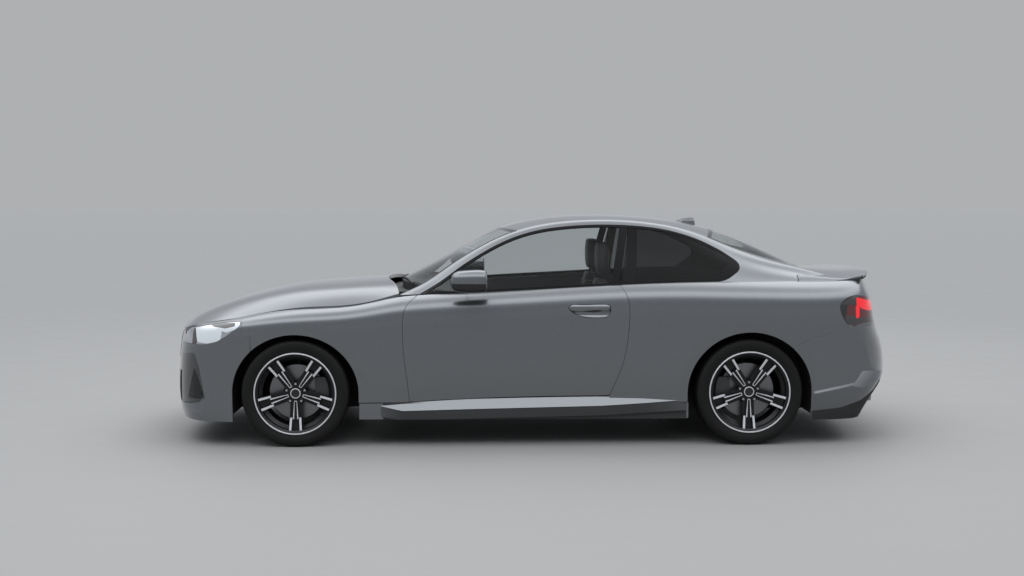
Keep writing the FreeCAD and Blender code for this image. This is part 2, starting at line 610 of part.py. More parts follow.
def side_pieces(front_hole, rear_hole, cut_top):
    face = net_face(ring_net(4, 33))
    slab = face.extrude(V(0, 320, 0))
    wall = thick(ring_net(4, 33), PANEL)
    thin = thick(ring_net(4, 33), FENDER_T)
    house = thick(house_net(), RAIL_T)
    house_glass = thick(house_net(), GLASS_T)
    left = box(-2500, 2500, -1200, -1, 0, 1500)

    skin = wall.common(side_prism(door_outline(0), -1000, -700))
    core = net_face(moved_net(ring_net(4, 33), 12)).extrude(V(0, 320, 0))
    door = skin.fuse(core.common(side_prism(door_outline(-8), -1000, DOOR_IN)))
    for z in HINGE_Z:
        door = door.cut(box(-900, HINGE_X + 28, HINGE_Y - 26, -600, z - 24, z + 24))
        door = door.cut(tilted(rod((HINGE_X, HINGE_Y, z - 46), (HINGE_X, HINGE_Y, z + 46),
                                   PIN_R + PIN_CLEARANCE)))
    wing = [
        [(FRONT_X - 262 + 3, 596), (FRONT_X - 262, 669)],
        [(FRONT_X - 262, 669), (-1760, 703)],
        [(-1760, 703), (-1760, 1000)],
        [(-1760, 1000), (-830, 1000)],
        [(-830, 1000), (-706 - SHUT_GAP, 909)],
        [(x - SHUT_GAP, z) for x, z in DOOR_FRONT],
        [(-757 - SHUT_GAP, 268), (-757 - SHUT_GAP, SILL_TOP + SEAT_GAP)],
        [(-757 - SHUT_GAP, SILL_TOP + SEAT_GAP), (-1100, SILL_TOP + SEAT_GAP)],
        [(-1100, SILL_TOP + SEAT_GAP), (FRONT_X - 259, 596)],
    ]
    fender = thin.common(side_prism(wing, -1000, -700)).cut(front_hole).cut(bonnet_space())
    save("left_fender", fender)
    save("right_fender", mirror(fender))

    # Quarter, pillars and roof rail in one panel
    quarter = [
        [(x + SHUT_GAP, z) for x, z in DOOR_REAR],
        [(514 + SHUT_GAP, 968), (530, 1000)],
        [(530, 1000), (2400, 1000)],
        [(2400, 1000), (2400, 741)],
        [(2400, 741), (2040, 741), (1990, 735), (1936, 719)],
        [(1936, 719), (1640, 639)],
        [(1640, 639), (1500, 560)],
        [(1500, 560), (1100, 300)],
        [(1100, 300), (930, 263)],
        [(930, 263), (DOOR_REAR[0][0] + SHUT_GAP, 263)],
        [(DOOR_REAR[0][0] + SHUT_GAP, 263), (DOOR_REAR[0][0] + SHUT_GAP, DOOR_REAR[0][1])],
    ]
    panel = wall.common(side_prism(quarter, -1000, -300)).cut(rear_hole)
    panel = panel.cut(side_prism(TAIL_LAMP, -1000, -LAMP_INNER_R)).cut(
        box(2000, 2400, -LID_HALF - 6, 0, 900, 1100)).cut(
        box(2000, 2400, -LID_LOW - 6, 0, 700, 1100))
    upper = [
        [(-842, 900), (-712, 909)],
        [(-712, 909), (-706, 911)],
        list(reversed([(514, 968), (93, 946), (-210, 930), (-513, 914), (-706, 911)])),
        [(514, 968), (750, 977), (1000, 984), (1300, 986)],
        [(1300, 986), (1850, 965)],
        [(1850, 965), (1850, 1500)],
        [(1850, 1500), (-842, 1500)],
        [(-842, 1500), (-842, 900)],
    ]
    top = house.common(side_prism(upper, -1000, -400))
    for tool in cut_top:
        top = top.cut(tool)
    top = top.cut(side_prism(window_outline(), -1000, -400))
    top = top.cut(box(1640, 1900, -612, 0, 900, 1200))
    deck = thick(deck_net(), PANEL).common(box(1630, 2170, -760, -612, 900, 1100))
    panel = panel.fuse(top).fuse(deck)
    sill = box(FRONT_X + 360, REAR_X - 360, -862, -700, 160, SILL_TOP).cut(
        box(FRONT_X + 370, REAR_X - 370, -850, -760, 170, 250))
    sections = []
    for x, zt, zl in ((-930, 244, 240), (-800, 258, 216), (-400, 280, 226), (400, 297, 243),
                      (650, 292, 258), (915, 280, 272)):
        pts = [V(x, -856, zt), V(x, -905 if zt - zl > 12 else -872, zl),
               V(x, -876, max(zl - 60, 162)), V(x, -852, max(zl - 62, 161))]
        sections.append(Part.makePolygon(pts + [pts[0]]))
    skirt = Part.makeLoft(sections, True, True)
    for x, half, rise in ((FRONT_X, ARCH_HALF_F, ARCH_RISE_F), (REAR_X, ARCH_HALF_R, ARCH_RISE_R)):
        grown = LINER_GAP + LINER_T + SEAT_GAP
        sill = sill.cut(arch(x, half + grown, rise + grown, -LINER_OUT - SEAT_GAP, 0))
    sill = sill.fuse(skirt)
    post = box(-862, -660, -712, -640, 200, 900)
    hinges = []
    for z in HINGE_Z:
        arm = box(HINGE_X - 12, HINGE_X + 12, HINGE_Y, -700, z - 18, z + 18)
        eye = tilted(rod((HINGE_X, HINGE_Y, z - 18), (HINGE_X, HINGE_Y, z + 18), 13))
        pin = tilted(rod((HINGE_X, HINGE_Y, z - 44), (HINGE_X, HINGE_Y, z + 44), PIN_R))
        hinges += [arm, eye, pin]
    lock_post = box(575, 640, -880, -700, 230, 955).common(slab)
    inner_b = thick(moved_net(house_net(), GLASS_T + SEAT_GAP), 34).common(
        side_prism([[(545, 940), (590, 1345)], [(590, 1345), (648, 1345)],
                    [(648, 1345), (612, 940)], [(612, 940), (545, 940)]], -1000, -400))
    for tool in cut_top:
        inner_b = inner_b.cut(tool)
    panel = panel.fuse([sill, post, lock_post, inner_b] + hinges).cut(front_hole).cut(rear_hole)
    panel = panel.cut(bonnet_space()).cut(box(-900, -686, -668, 0, 850, 1000))
    save("left_side_frame", panel)
    save("right_side_frame", mirror(panel))

    # Glass
    pane = [
        [(-696, 912.5), (-576, 983), (-453, 1072), (-331, 1149), (-208, 1215), (-82, 1265),
         (42, 1297), (166, 1315), (290, 1325), (415, 1329), (575, 1325)],
        [(575, 1325), (505, 968.3)],
        [(x, z + 0.3) for x, z in reversed([(-696, 912.2)] + BELT[1:-1] + [(505, 968)])],
    ]
    glass = house_glass.common(side_prism(pane, -1000, -400))
    save("left_door_glass", glass)
    save("right_door_glass", mirror(glass))
    rear_pane = [
        [(582, 1325.5), (664, 1320.7), (789, 1304.7), (914, 1275.7), (1039, 1231.7), (1165, 1167.5)],
        [(1165, 1167.5)] + [(x - 0.6, z) for x, z in DLO_TIP[1:-1]] + [(1100, 986.5)],
        [(1100, 986.5), (1000, 985.7), (750, 979), (518, 970)],
        [(518, 970), (582, 1325.5)],
    ]
    quarter_glass = house_glass.common(side_prism(rear_pane, -1000, -400)).cut(inner_b)
    save("quarter_glasses", Part.makeCompound([quarter_glass, mirror(quarter_glass)]))
    return door, slab


# Boot lid hinge: the pin's place, and the curved arm about it
LID_X = 1480.0
LID_Z = 1010.0
NECK_Y = 520.0
NECK_T = 16.0
NECK_R0 = 236.0
NECK_R1 = 260.0
EYE_R = 15.0
LID_FRONT = 1756.0
SKIN_COVER = 6.0
LID_PLAY = 13.0


def gooseneck(y):
    """Hinge arm of the boot lid: it swings round the cross member under the rear window."""
    y0 = y - NECK_T / 2
    turn = V(0, 1, 0)
    across_arm = V(0, NECK_T, 0)
    centre = V(LID_X, y0, LID_Z)
    ring = Part.makeCylinder(NECK_R1, NECK_T, centre, turn).cut(
        Part.makeCylinder(NECK_R0, NECK_T, centre, turn))

    def at(angle, r):
        a = math.radians(angle)
        return V(LID_X + r * math.cos(a), y0, LID_Z + r * math.sin(a))

    low, top = -80, 18
    far = NECK_R1 * 1.6
    wedge = Part.Face(Part.makePolygon([centre, at(low, far), at((low + top) / 2, far), at(top, far),
                                        centre]))
    neck = ring.common(wedge.extrude(across_arm))
    link = Part.Face(Part.makePolygon([at(low, NECK_R1), at(low + 8, NECK_R1), at(low + 34, EYE_R + 1),
                                       at(low - 26, EYE_R + 1), at(low, NECK_R1)])).extrude(across_arm)
    eye = Part.makeCylinder(EYE_R, NECK_T, centre, turn)
    foot_x = LID_X + NECK_R0 + 2
    foot = box(foot_x, foot_x + 88, y0, y0 + NECK_T, LID_Z - 10, LID_Z + 120)
    return neck.fuse([link, eye, foot])


def tops(cut_top):
    x0, b0, x1, b1 = ROOF
    roof = thick(house_net(), PANEL).common(
        top_prism(between(x0, b0, x1, b1, 0), 850, 1500))
    save("roof_panel", roof)
    glass = thick(house_net(), GLASS_T)
    x0, b0, x1, b1 = WINDSCREEN
    save("windscreen", glass.common(top_prism(between(x0, b0, x1, b1, 0), 850, 1500)))
    x0, b0, x1, b1 = REAR_GLASS
    save("rear_window", glass.common(top_prism(between(x0, b0, x1, b1, 0), 850, 1500)))

    hood = thick(bonnet_net(), PANEL)
    hood = hood.common(top_prism(bonnet_line(0), 600, 1100))
    arms = []
    above = net_face(moved_net(bonnet_net(), 6)).extrude(V(0, 0, 400))
    for s in (-1, 1):
        y0 = s * HOOD_Y - 9
        y1 = s * HOOD_Y + 9
        arm = box(HOOD_X - 220, HOOD_X - 2, y0, y1, HOOD_Z - 9, HOOD_Z + 9)
        arm = arm.fuse(box(HOOD_X - 220, HOOD_X - 170, y0, y1, HOOD_Z - 9, 1000)).cut(above)
        eye = rod((HOOD_X, y0, HOOD_Z), (HOOD_X, y1, HOOD_Z), EYE_R)
        arms.append(arm.fuse(eye))
    hood = hood.fuse(arms)
    for s in (-1, 1):
        hood = hood.cut(rod((HOOD_X, s * HOOD_Y - 20, HOOD_Z), (HOOD_X, s * HOOD_Y + 20, HOOD_Z),
                            PIN_R + PIN_CLEARANCE))
    save("hood", hood)

    deck = thick(deck_net(), PANEL)
    rear = thick(ring_net(20, 37, True), PANEL)
    lid_front = [(LID_FRONT - 0.25 * y * y / 1000, y)
                 for y in (-LID_HALF, -400, -200, 0, 200, 400, LID_HALF)]
    top_line = [
        lid_front,
        [lid_front[-1], (2300, LID_HALF)],
        [(2300, LID_HALF), (2300, -LID_HALF)],
        [(2300, -LID_HALF), lid_front[0]],
    ]
    lid = deck.common(top_prism(top_line, 900, 1100))
    half = [(0, 744), (LID_LOW, 744), (LID_LOW, 904), (LID_HALF, 904), (LID_HALF, 1030)]
    corners = half + [(-y, z) for y, z in reversed(half)]
    back = rear.common(Part.Face(Part.makePolygon([V(2000, y, z) for y, z in corners])).extrude(
        V(400, 0, 0)))
    lid = lid.fuse(back)
    under_skin = net_face(moved_net(deck_net(), SKIN_COVER)).extrude(V(0, 0, 400))
    for y in (-NECK_Y, NECK_Y):
        lid = lid.fuse(gooseneck(y).cut(under_skin))
    for y in (-NECK_Y, NECK_Y):
        lid = lid.cut(rod((LID_X, y - 30, LID_Z), (LID_X, y + 30, LID_Z), PIN_R + PIN_CLEARANCE))
    save("boot_lid", lid)


def revolve(profile, x, y, z, side):
    """Ring about a wheel's axis.  Profile: radius, distance from the wheel's middle, outwards."""
    pts = [V(x, y + side * d, z + r) for r, d in profile]
    face = Part.Face(Part.makePolygon(pts + [pts[0]]))
    return face.revolve(V(x, y, z), V(0, 1, 0), 360)


TYRE_SECTION = [(229, 97), (248, 99), (268, 109), (288, 112), (305, 109), (316, 101), (321, 88),
                (322, 60), (322, -60), (321, -88), (316, -101), (305, -109), (288, -112),
                (268, -109), (248, -99), (229, -97)]
BARREL_SECTION = [(246.5, 106), (246.5, 99), (228.7, 98.4), (228.7, 68), (208, 52), (206, -50),
                  (228.7, -72), (228.7, -98.4), (246.5, -99), (246.5, -106), (238, -106),
                  (221, -92), (221, -74), (199, -52), (201, 54), (221, 72), (224, 96), (240, 106)]
HUB_R = 66.0
CAP_R = 31.0
SPOKE_REACH = 226.0
# Plan of each part of a double spoke.  Columns: radius and the two sides' distances from the
# spoke's middle line at the inner end, and the same at the outer end
WEB = ((50, -33, 33), (230, -41, 41))
RIB = ((48, -10, 10), (158, -17, 17))
BARS = (((146, 20, 34), (230, 25, 40)), ((146, -34, -20), (230, -40, -25)))
# Height of the parts from the wheel's middle, outwards: radius, back, front
WEB_SIDE = ((40, 36, 60), (150, 44, 62), (230, 56, 74))
BAR_SIDE = ((40, 50, 78), (146, 56, 80), (230, 66, 97))


def spoke_part(plan, side_view):
    """Solid whose plan and side view are both given, pointing down from the wheel's middle."""
    (r0, a0, b0), (r1, a1, b1) = plan
    pts = [V(a0, 0, -r0), V(b0, 0, -r0), V(b1, 0, -r1), V(a1, 0, -r1)]
    shape = Part.Face(Part.makePolygon(pts + [pts[0]])).extrude(V(0, 120, 0))
    back = [V(-60, low, -r) for r, low, high in side_view]
    front = [V(-60, high, -r) for r, low, high in reversed(side_view)]
    pts = back + front
    return shape.common(Part.Face(Part.makePolygon(pts + [pts[0]])).extrude(V(120, 0, 0)))


def double_spoke():
    return spoke_part(WEB, WEB_SIDE).fuse([spoke_part(RIB, BAR_SIDE)] +
                                          [spoke_part(bar, BAR_SIDE) for bar in BARS])


def wheel(x, side):
    """Rim with five double spokes and the brake disc bolted to it."""
    y = side * TYRE_Y
    z = WHEEL_R
    spoke = double_spoke()
    parts = []
    for k in range(5):
        turned = spoke.copy()
        turned.rotate(V(0, 0, 0), V(0, 1, 0), 72 * k)
        parts.append(turned)
    middle = V(0, 0, 0)
    hub = Part.makeCylinder(HUB_R, 38, V(0, 30, 0), V(0, 1, 0))
    cap = Part.makeCylinder(CAP_R, 40, V(0, 40, 0), V(0, 1, 0))
    spokes = hub.fuse(parts + [cap]).common(Part.makeCylinder(SPOKE_REACH, 120, middle, V(0, 1, 0)))
    if side < 0:
        spokes = mirror(spokes)
    spokes.translate(V(x, y, z))
    hat = rod((x, y - side * 26, z), (x, y + side * 31, z), 78)
    disc = rod((x, y - side * 28, z), (x, y - side * 4, z), DISC_R)
    shape = revolve(BARREL_SECTION, x, y, z, side).fuse([spokes, hat, disc])
    bore = rod((x, y - side * 40, z), (x, y + side * 62, z), HUB_BORE_R)
    return shape.cut(bore)


KING_LOW = (722.0, 200.0)
KING_TOP = (582.0, 830.0)


def king(z):
    """Distance from the centre plane of the steering axis at a height."""
    return KING_LOW[0] + (KING_TOP[0] - KING_LOW[0]) * (z - KING_LOW[1]) / (KING_TOP[1] - KING_LOW[1])


def king_rod(x, side, z0, z1, r):
    return rod((x, side * king(z0), z0), (x, side * king(z1), z1), r)


def front_knuckle(side):
    x = FRONT_X
    body = king_rod(x, side, 224, 636, 19)
    body = body.fuse([king_rod(x, side, 224, 268, 26), king_rod(x, side, 596, 636, 26)])
    plate = rod((x, side * 694, WHEEL_R), (x, side * 742, WHEEL_R), 58)
    spindle = rod((x, side * 740, WHEEL_R), (x, side * 845, WHEEL_R), HUB_BORE_R - PIN_CLEARANCE)
    bracket = box(x + 30, x + 178, side * 722 - 9, side * 722 + 9, WHEEL_R - 10, WHEEL_R + 60)
    out = TYRE_Y + 26
    lo, hi = sorted((side * 731, side * out))
    caliper = box(x + 110, x + 205, lo, hi, WHEEL_R - 40, WHEEL_R + 92)
    slot = sorted((side * (TYRE_Y - 36), side * (TYRE_Y + 4)))
    reach = rod((x, slot[0], WHEEL_R), (x, slot[1], WHEEL_R), DISC_R + 6)
    caliper = caliper.cut(reach).common(rod((x, lo, WHEEL_R), (x, hi, WHEEL_R), 194))
    body = body.fuse([plate, spindle, bracket, caliper])
    body = body.cut(king_rod(x, side, 200, 270, 12 + PIN_CLEARANCE))
    body = body.cut(king_rod(x, side, 594, 700, 10 + PIN_CLEARANCE))
    return body


def front_axle():
    x = FRONT_X
    beam = box(x - 110, x + 110, -360, 360, 196, 250).cut(box(x - 90, x + 90, -340, 340, 190, 240))
    shape = beam
    for s in (-1, 1):
        pts = [V(x - 105, s * 350, 196), V(x - 34, s * 735, 196), V(x + 34, s * 735, 196),
               V(x + 105, s * 350, 196)]
        arm = Part.Face(Part.makePolygon(pts + [pts[0]])).extrude(V(0, 0, 16))
        shape = shape.fuse([arm, king_rod(x, s, 204, 262, 12)])
        mount = box(x - 30, x + 30, s * 430 - 30, s * 430 + 30, 205, 359.7)
        shape = shape.fuse(mount)
    return shape


def rear_axle():
    x = REAR_X
    shape = box(x - 70, x + 70, -560, 560, 246, 306).cut(box(x - 58, x + 58, -520, 520, 240, 294))
    for s in (-1, 1):
        shape = shape.fuse(box(x - 30, x + 30, min(s * 540, s * 640), max(s * 540, s * 640), 262, 292))
        shape = shape.fuse(box(x - 32, x + 32, s * 430 - 30, s * 430 + 30, 290, 329.7))
    return shape


def rear_knuckle(side):
    x = REAR_X
    y0, y1 = sorted((side * 640, side * 742))
    body = box(x - 45, x + 45, y0, y1, 262, 400)
    body = body.fuse(rod((x, side * 700, WHEEL_R), (x, side * 742, WHEEL_R), 60))
    spindle = rod((x, side * 740, WHEEL_R), (x, side * 845, WHEEL_R), HUB_BORE_R - PIN_CLEARANCE)
    bracket = box(x - 178, x, side * 722 - 9, side * 722 + 9, WHEEL_R - 10, WHEEL_R + 50)
    lo, hi = sorted((side * 731, side * (TYRE_Y + 24)))
    caliper = box(x - 196, x - 108, lo, hi, WHEEL_R - 34, WHEEL_R + 84)
    slot = sorted((side * (TYRE_Y - 36), side * (TYRE_Y + 4)))
    caliper = caliper.cut(rod((x, slot[0], WHEEL_R), (x, slot[1], WHEEL_R), DISC_R + 6))
    caliper = caliper.common(rod((x, lo, WHEEL_R), (x, hi, WHEEL_R), 194))
    return body.fuse([spindle, bracket, caliper])


def running_gear():
    for name, x, side in (("fl", FRONT_X, -1), ("fr", FRONT_X, 1), ("rl", REAR_X, -1),
                          ("rr", REAR_X, 1)):
        save("wheel_" + name, wheel(x, side))
        save("tyre_" + name, revolve(TYRE_SECTION, x, side * TYRE_Y, WHEEL_R, side))
    save("front_left_knuckle", front_knuckle(-1))
    save("front_right_knuckle", front_knuckle(1))
    save("front_axle", front_axle())
    save("rear_axle", rear_axle())
    save("rear_knuckles", Part.makeCompound([rear_knuckle(-1), rear_knuckle(1)]))
    struts = []
    for s in (-1, 1):
        strut = king_rod(FRONT_X, s, 640, 829.7, 24).fuse(king_rod(FRONT_X, s, 600, 650, 10))
        strut = strut.cut(box(-3000, 3000, -900, 900, 829.7, 900))
        struts.append(strut)
        struts.append(rod((REAR_X, s * 672, 390), (REAR_X, s * 640, 720), 22).common(
            box(-3000, 3000, -900, 900, 400.3, 699.7)))
    save("struts", Part.makeCompound(struts))


def arch_liners():
    """Shell over each wheel, with a side wall towards the car's middle."""
    out = net_face(moved_net(ring_net(4, 33), PANEL + 8)).extrude(V(0, -400, 0))
    liners = []
    for x, half, rise, y_in, passage in (
            (FRONT_X, ARCH_HALF_F, ARCH_RISE_F, FRONT_WELL_Y,
             [(130, 0, 240, 20), (95, 560, 800, 195)]),
            (REAR_X, ARCH_HALF_R, ARCH_RISE_R, REAR_WELL_Y,
             [(70, 0, 420, 20), (70, 560, 800, 115)])):
        y1 = -y_in - SEAT_GAP
        shell = arch(x, half + LINER_GAP + LINER_T, rise + LINER_GAP + LINER_T, -LINER_OUT, y1)
        inside = arch(x, half + LINER_GAP, rise + LINER_GAP, -LINER_OUT - 1, y1 - LINER_T)
        shell = shell.cut(inside).cut(box(x - 500, x + 500, -1000, 0, -200, LINER_LOW)).cut(out)
        for reach, z0, z1, wide in passage:
            shell = shell.cut(box(x - reach, x + reach, y1 - wide, y1 + 1, z0, z1))
        liners += [shell, mirror(shell)]
    save("arch_liners", Part.makeCompound(liners))


def largest(shape):
    return max(shape.Solids, key=lambda s: s.Volume)


def floor_plates():
    """Floor of each side, toe walls, tunnel and the wall behind the rear bench."""
    grown = LINER_GAP + LINER_T + SEAT_GAP
    well = arch(REAR_X, ARCH_HALF_R + grown, ARCH_RISE_R + grown, REAR_WELL_Y, 1000)
    near = TUNNEL_Y + SEAT_GAP
    far = PAN_SIDE - SEAT_GAP
    end_x = KICK_X - WALL_T - SEAT_GAP
    plate = box(WALL_X + SEAT_GAP, end_x, near, far, PAN_LOW, PAN_TOP).cut(well)
    toe = box(WALL_X - WALL_T, WALL_X, near, far, PAN_LOW, WALL_TOP)
    inner_y = TUNNEL_Y - TUNNEL_T
    hollow = box(WALL_X - WALL_T - 5, KICK_X + 5, -inner_y, inner_y, 0, TUNNEL_TOP - TUNNEL_T)
    tunnel = box(WALL_X - WALL_T, end_x, -TUNNEL_Y, TUNNEL_Y, PAN_LOW, TUNNEL_TOP).cut(hollow)
    kick = box(KICK_X - WALL_T, KICK_X, -REAR_WELL_Y, REAR_WELL_Y, PAN_LOW, BOOT_Z).cut(hollow)
    return [plate, mirror(plate), toe, mirror(toe), tunnel, kick]


def structure():
    front_net = ring_net(0, 16, True)
    rear_net = ring_net(20, 37, True)
    nose = thick(moved_net(front_net, -60), BUMPER_T + 60 + 13 + SEAT_GAP)
    tail = thick(moved_net(rear_net, -60), BUMPER_T + 60 + SEAT_GAP)
    def pair(x0, x1, ya, yb, z0, z1):
        return [box(x0, x1, *sorted((s * ya, s * yb)), z0, z1) for s in (-1, 1)]

    cross = largest(box(-2300, -2120, -460, 460, 520, 560).cut(nose))
    rails = [largest(rail.cut(nose)) for rail in
             pair(-2300, WALL_X - WALL_T - SEAT_GAP, 395, 460, 360, 450)]
    inner_y = FRONT_WELL_Y - WALL_T
    front = cross.fuse(rails + pair(-2150, -2120, 400, 460, 440, 560) +
                       pair(FRONT_X - 330, FRONT_X + 330, inner_y, FRONT_WELL_Y, 370, 845) +
                       pair(FRONT_X - 90, FRONT_X + 90, inner_y, 660, 830, 845))

    boot = box(KICK_X + SEAT_GAP, 2095, -REAR_WELL_Y, REAR_WELL_Y, BOOT_Z - 15, BOOT_Z)
    rails = [largest(rail.cut(tail)) for rail in pair(1640, 2300, 380, 440, BOOT_Z, 425)]
    inner_y = REAR_WELL_Y - 13
    boot = boot.fuse(rails + pair(KICK_X + SEAT_GAP, REAR_X + 400, inner_y, REAR_WELL_Y, 330, 715) +
                     pair(REAR_X - 60, REAR_X + 60, inner_y, 700, 700, 715))
    save("floor_pan", Part.makeCompound(floor_plates() + [front, boot]))

    glass_bed = net_face(moved_net(house_net(), GLASS_T + SEAT_GAP)).extrude(V(0, 0, -90))
    x0, b0, x1, b1 = WINDSCREEN
    lip = glass_bed.common(top_prism(between(x0 - 4, b0, x0 + 44, b0, -6), 902, 1500))
    lip = lip.common(net_face(moved_net(house_net(), GLASS_T + SEAT_GAP)).extrude(V(0, 0, -24)))
    upstand = glass_bed.common(top_prism(between(x0 - 4, b0, x0 + 8, b0, -6), 905, 1500))
    wall_out = WALL_X - WALL_T
    wall = box(wall_out, WALL_X, -639, 639, WALL_TOP + SEAT_GAP, 915)
    tray = box(wall_out, -700, -600, 600, 905, 917).cut(
        top_prism(between(x0 + 20, b0, x0 + 300, b0, 40), 890, 930))
    cowl = wall.fuse([tray, lip, upstand])
    for s in (-1, 1):
        cowl = cowl.fuse(box(wall_out, -862.3, s * 669 - 30, s * 669 + 30, 470, 895))
        y0 = s * HOOD_Y - HINGE_PLAY
        y1 = s * HOOD_Y + HINGE_PLAY
        ear_in = box(HOOD_X - 22, HOOD_X + 22, y0 - EAR_T, y0, 880, 920)
        ear_out = box(HOOD_X - 22, HOOD_X + 22, y1, y1 + EAR_T, 880, 920)
        pin = rod((HOOD_X, y0 - 11, HOOD_Z), (HOOD_X, y1 + 11, HOOD_Z), PIN_R)
        slot = box(HOOD_X - 170, HOOD_X + 22, y0, y1, 860, 960)
        cowl = cowl.cut(slot).fuse([ear_in, ear_out, pin])
    save("cowl_and_bulkhead", cowl)

    x0, b0, x1, b1 = REAR_GLASS
    rear_bow = net_face(moved_net(house_net(), GLASS_T + SEAT_GAP)).extrude(V(0, 0, -30)).common(
        top_prism(between(x1 - 44, b1, x1 + 2, b1, -6), 800, 1500))
    shelf = box(1190, 1740, -560, 560, 900, 914)
    riser = box(1688, 1706, -440, 440, 905, 1045).common(
        thick(moved_net(house_net(), 20), 300))
    ears = []
    for y in (-NECK_Y, NECK_Y):
        shelf = shelf.cut(box(LID_X - EYE_R, 1760, y - LID_PLAY, y + LID_PLAY, 880, 1100))
        for lo, hi in ((-LID_PLAY - 11, -LID_PLAY), (LID_PLAY, LID_PLAY + 11)):
            ears.append(box(LID_X - 22, LID_X + 22, y + lo, y + hi, 905, LID_Z + 18))
        ears.append(rod((LID_X, y - LID_PLAY - 9, LID_Z), (LID_X, y + LID_PLAY + 9, LID_Z), PIN_R))
    save("parcel_shelf", shelf.fuse([riser, rear_bow] + ears))


def cabin():
    dash = [[(-892.7, 640), (-892.7, 904.7)], [(-892.7, 904.7), (-690, 904.7)],
            [(-690, 904.7), (-620, 924), (-540, 922), (-470, 890)],
            [(-470, 890), (-445, 820), (-480, 720), (-560, 640)], [(-560, 640), (-892.7, 640)]]
    dash = side_prism(dash, -639, 639)
    dash = dash.cut(net_face(moved_net(house_net(), 46)).extrude(V(0, 0, 300)))
    for s in (-1, 1):
        lo, hi = sorted((s * 580, s * 640))
        dash = dash.cut(box(-893, -745, lo, hi, 850, 910))
    dash = dash.fuse(box(-600, 140, -115, 115, 330.3, 520)).fuse(box(-640, -520, -115, 115, 400, 700))
    save("dashboard", dash)
    centre = V(-330, -370, 810)
    lean = V(0.92, 0, 0.39)
    ring = Part.makeTorus(182, 15, centre, lean)
    boss = Part.makeCylinder(46, 40, centre - lean * 34, lean)
    wheel_parts = [boss]
    for a in (0, 180, 270):
        bar = Part.makeBox(175, 26, 14, V(0, -13, -18))
        bar.rotate(V(0, 0, 0), V(0, 0, 1), a)
        bar.Placement = FreeCAD.Placement(centre, FreeCAD.Rotation(V(0, 0, 1), lean)).multiply(
            bar.Placement)
        wheel_parts.append(bar)
    column = Part.makeCylinder(26, 120, centre - lean * 130, lean)
    wheel_shape = ring.fuse(wheel_parts + [column]).cut(dash)
    save("steering_wheel", largest(wheel_shape))

    seats = []
    for s in (-1, 1):
        side_line = [
            [(-120, 300), (-130, 430), (-90, 480), (40, 478), (250, 440)],
            [(250, 440), (330, 640), (372, 900), (400, 985)],
            [(400, 985), (395, 1120), (400, 1215), (450, 1232), (486, 1200), (486, 1010)],
            [(486, 1010), (500, 800), (440, 480), (400, 300)],
            [(400, 300), (-120, 300)],
        ]
        lo, hi = sorted((s * 146, s * 618))
        seat = side_prism(side_line, lo, hi)
        narrow = [(lo, 860), (lo + 60, 960), (s * 380 - 135, 1000), (s * 380 - 135, 1260),
                  (s * 380 + 135, 1260), (s * 380 + 135, 1000), (hi - 60, 960), (hi, 860),
                  (hi, 200), (lo, 200)]
        cut = Part.Face(Part.makePolygon([V(-300, y, z) for y, z in narrow + [narrow[0]]]))
        seat = seat.common(cut.extrude(V(1000, 0, 0)))
        rails = [box(-60, 380, s * 380 + d - 15, s * 380 + d + 15, 180.3, 305) for d in (-190, 190)]
        seats.append(seat.fuse(rails))
    save("front_seats", Part.makeCompound(seats))
    bench_line = [
        [(640, 345.3), (600, 400), (610, 470), (680, 492), (860, 470), (960, 450)],
        [(960, 450), (1080, 760), (1110, 899)],
        [(1110, 899), (1189, 899)],
        [(1189, 899), (1150, 640), (1100, 345.3)],
        [(1100, 345.3), (640, 345.3)],
    ]
    bench = side_prism(bench_line, -585, 585).fuse(box(700, 999, -560, 560, 200, 350)).cut(
        box(600, 1010, -150, 150, 100, 331)).cut(box(990, 1200, -700, 700, 100, 345.3))
    bench = bench.fuse(box(700, 999, -560, -150, 180.3, 210)).fuse(box(700, 999, 150, 560, 180.3, 210))
    save("rear_bench", bench)
    save("engine_block", box(ENGINE_REAR - 640, ENGINE_REAR, -170, 170, 250 + SEAT_GAP, 800))


ENGINE_REAR = -1050.0
PIPE_R = 28.0
PIPE_BEND = (-900.0, 215.0)
PIPE_END_Z = 205.0
MUFFLER_X = 1480.0
TAIL_R = 30.0
TAIL_BEND_X = 2020.0
TIP_X = 2060.0
TIP_R = 36.0
TIP_BORE_R = 31.0
TIP_BORE_X = 2080.0
TIP_END = 2130.0
TIP_Y = 560.0
TIP_Z = 255.0


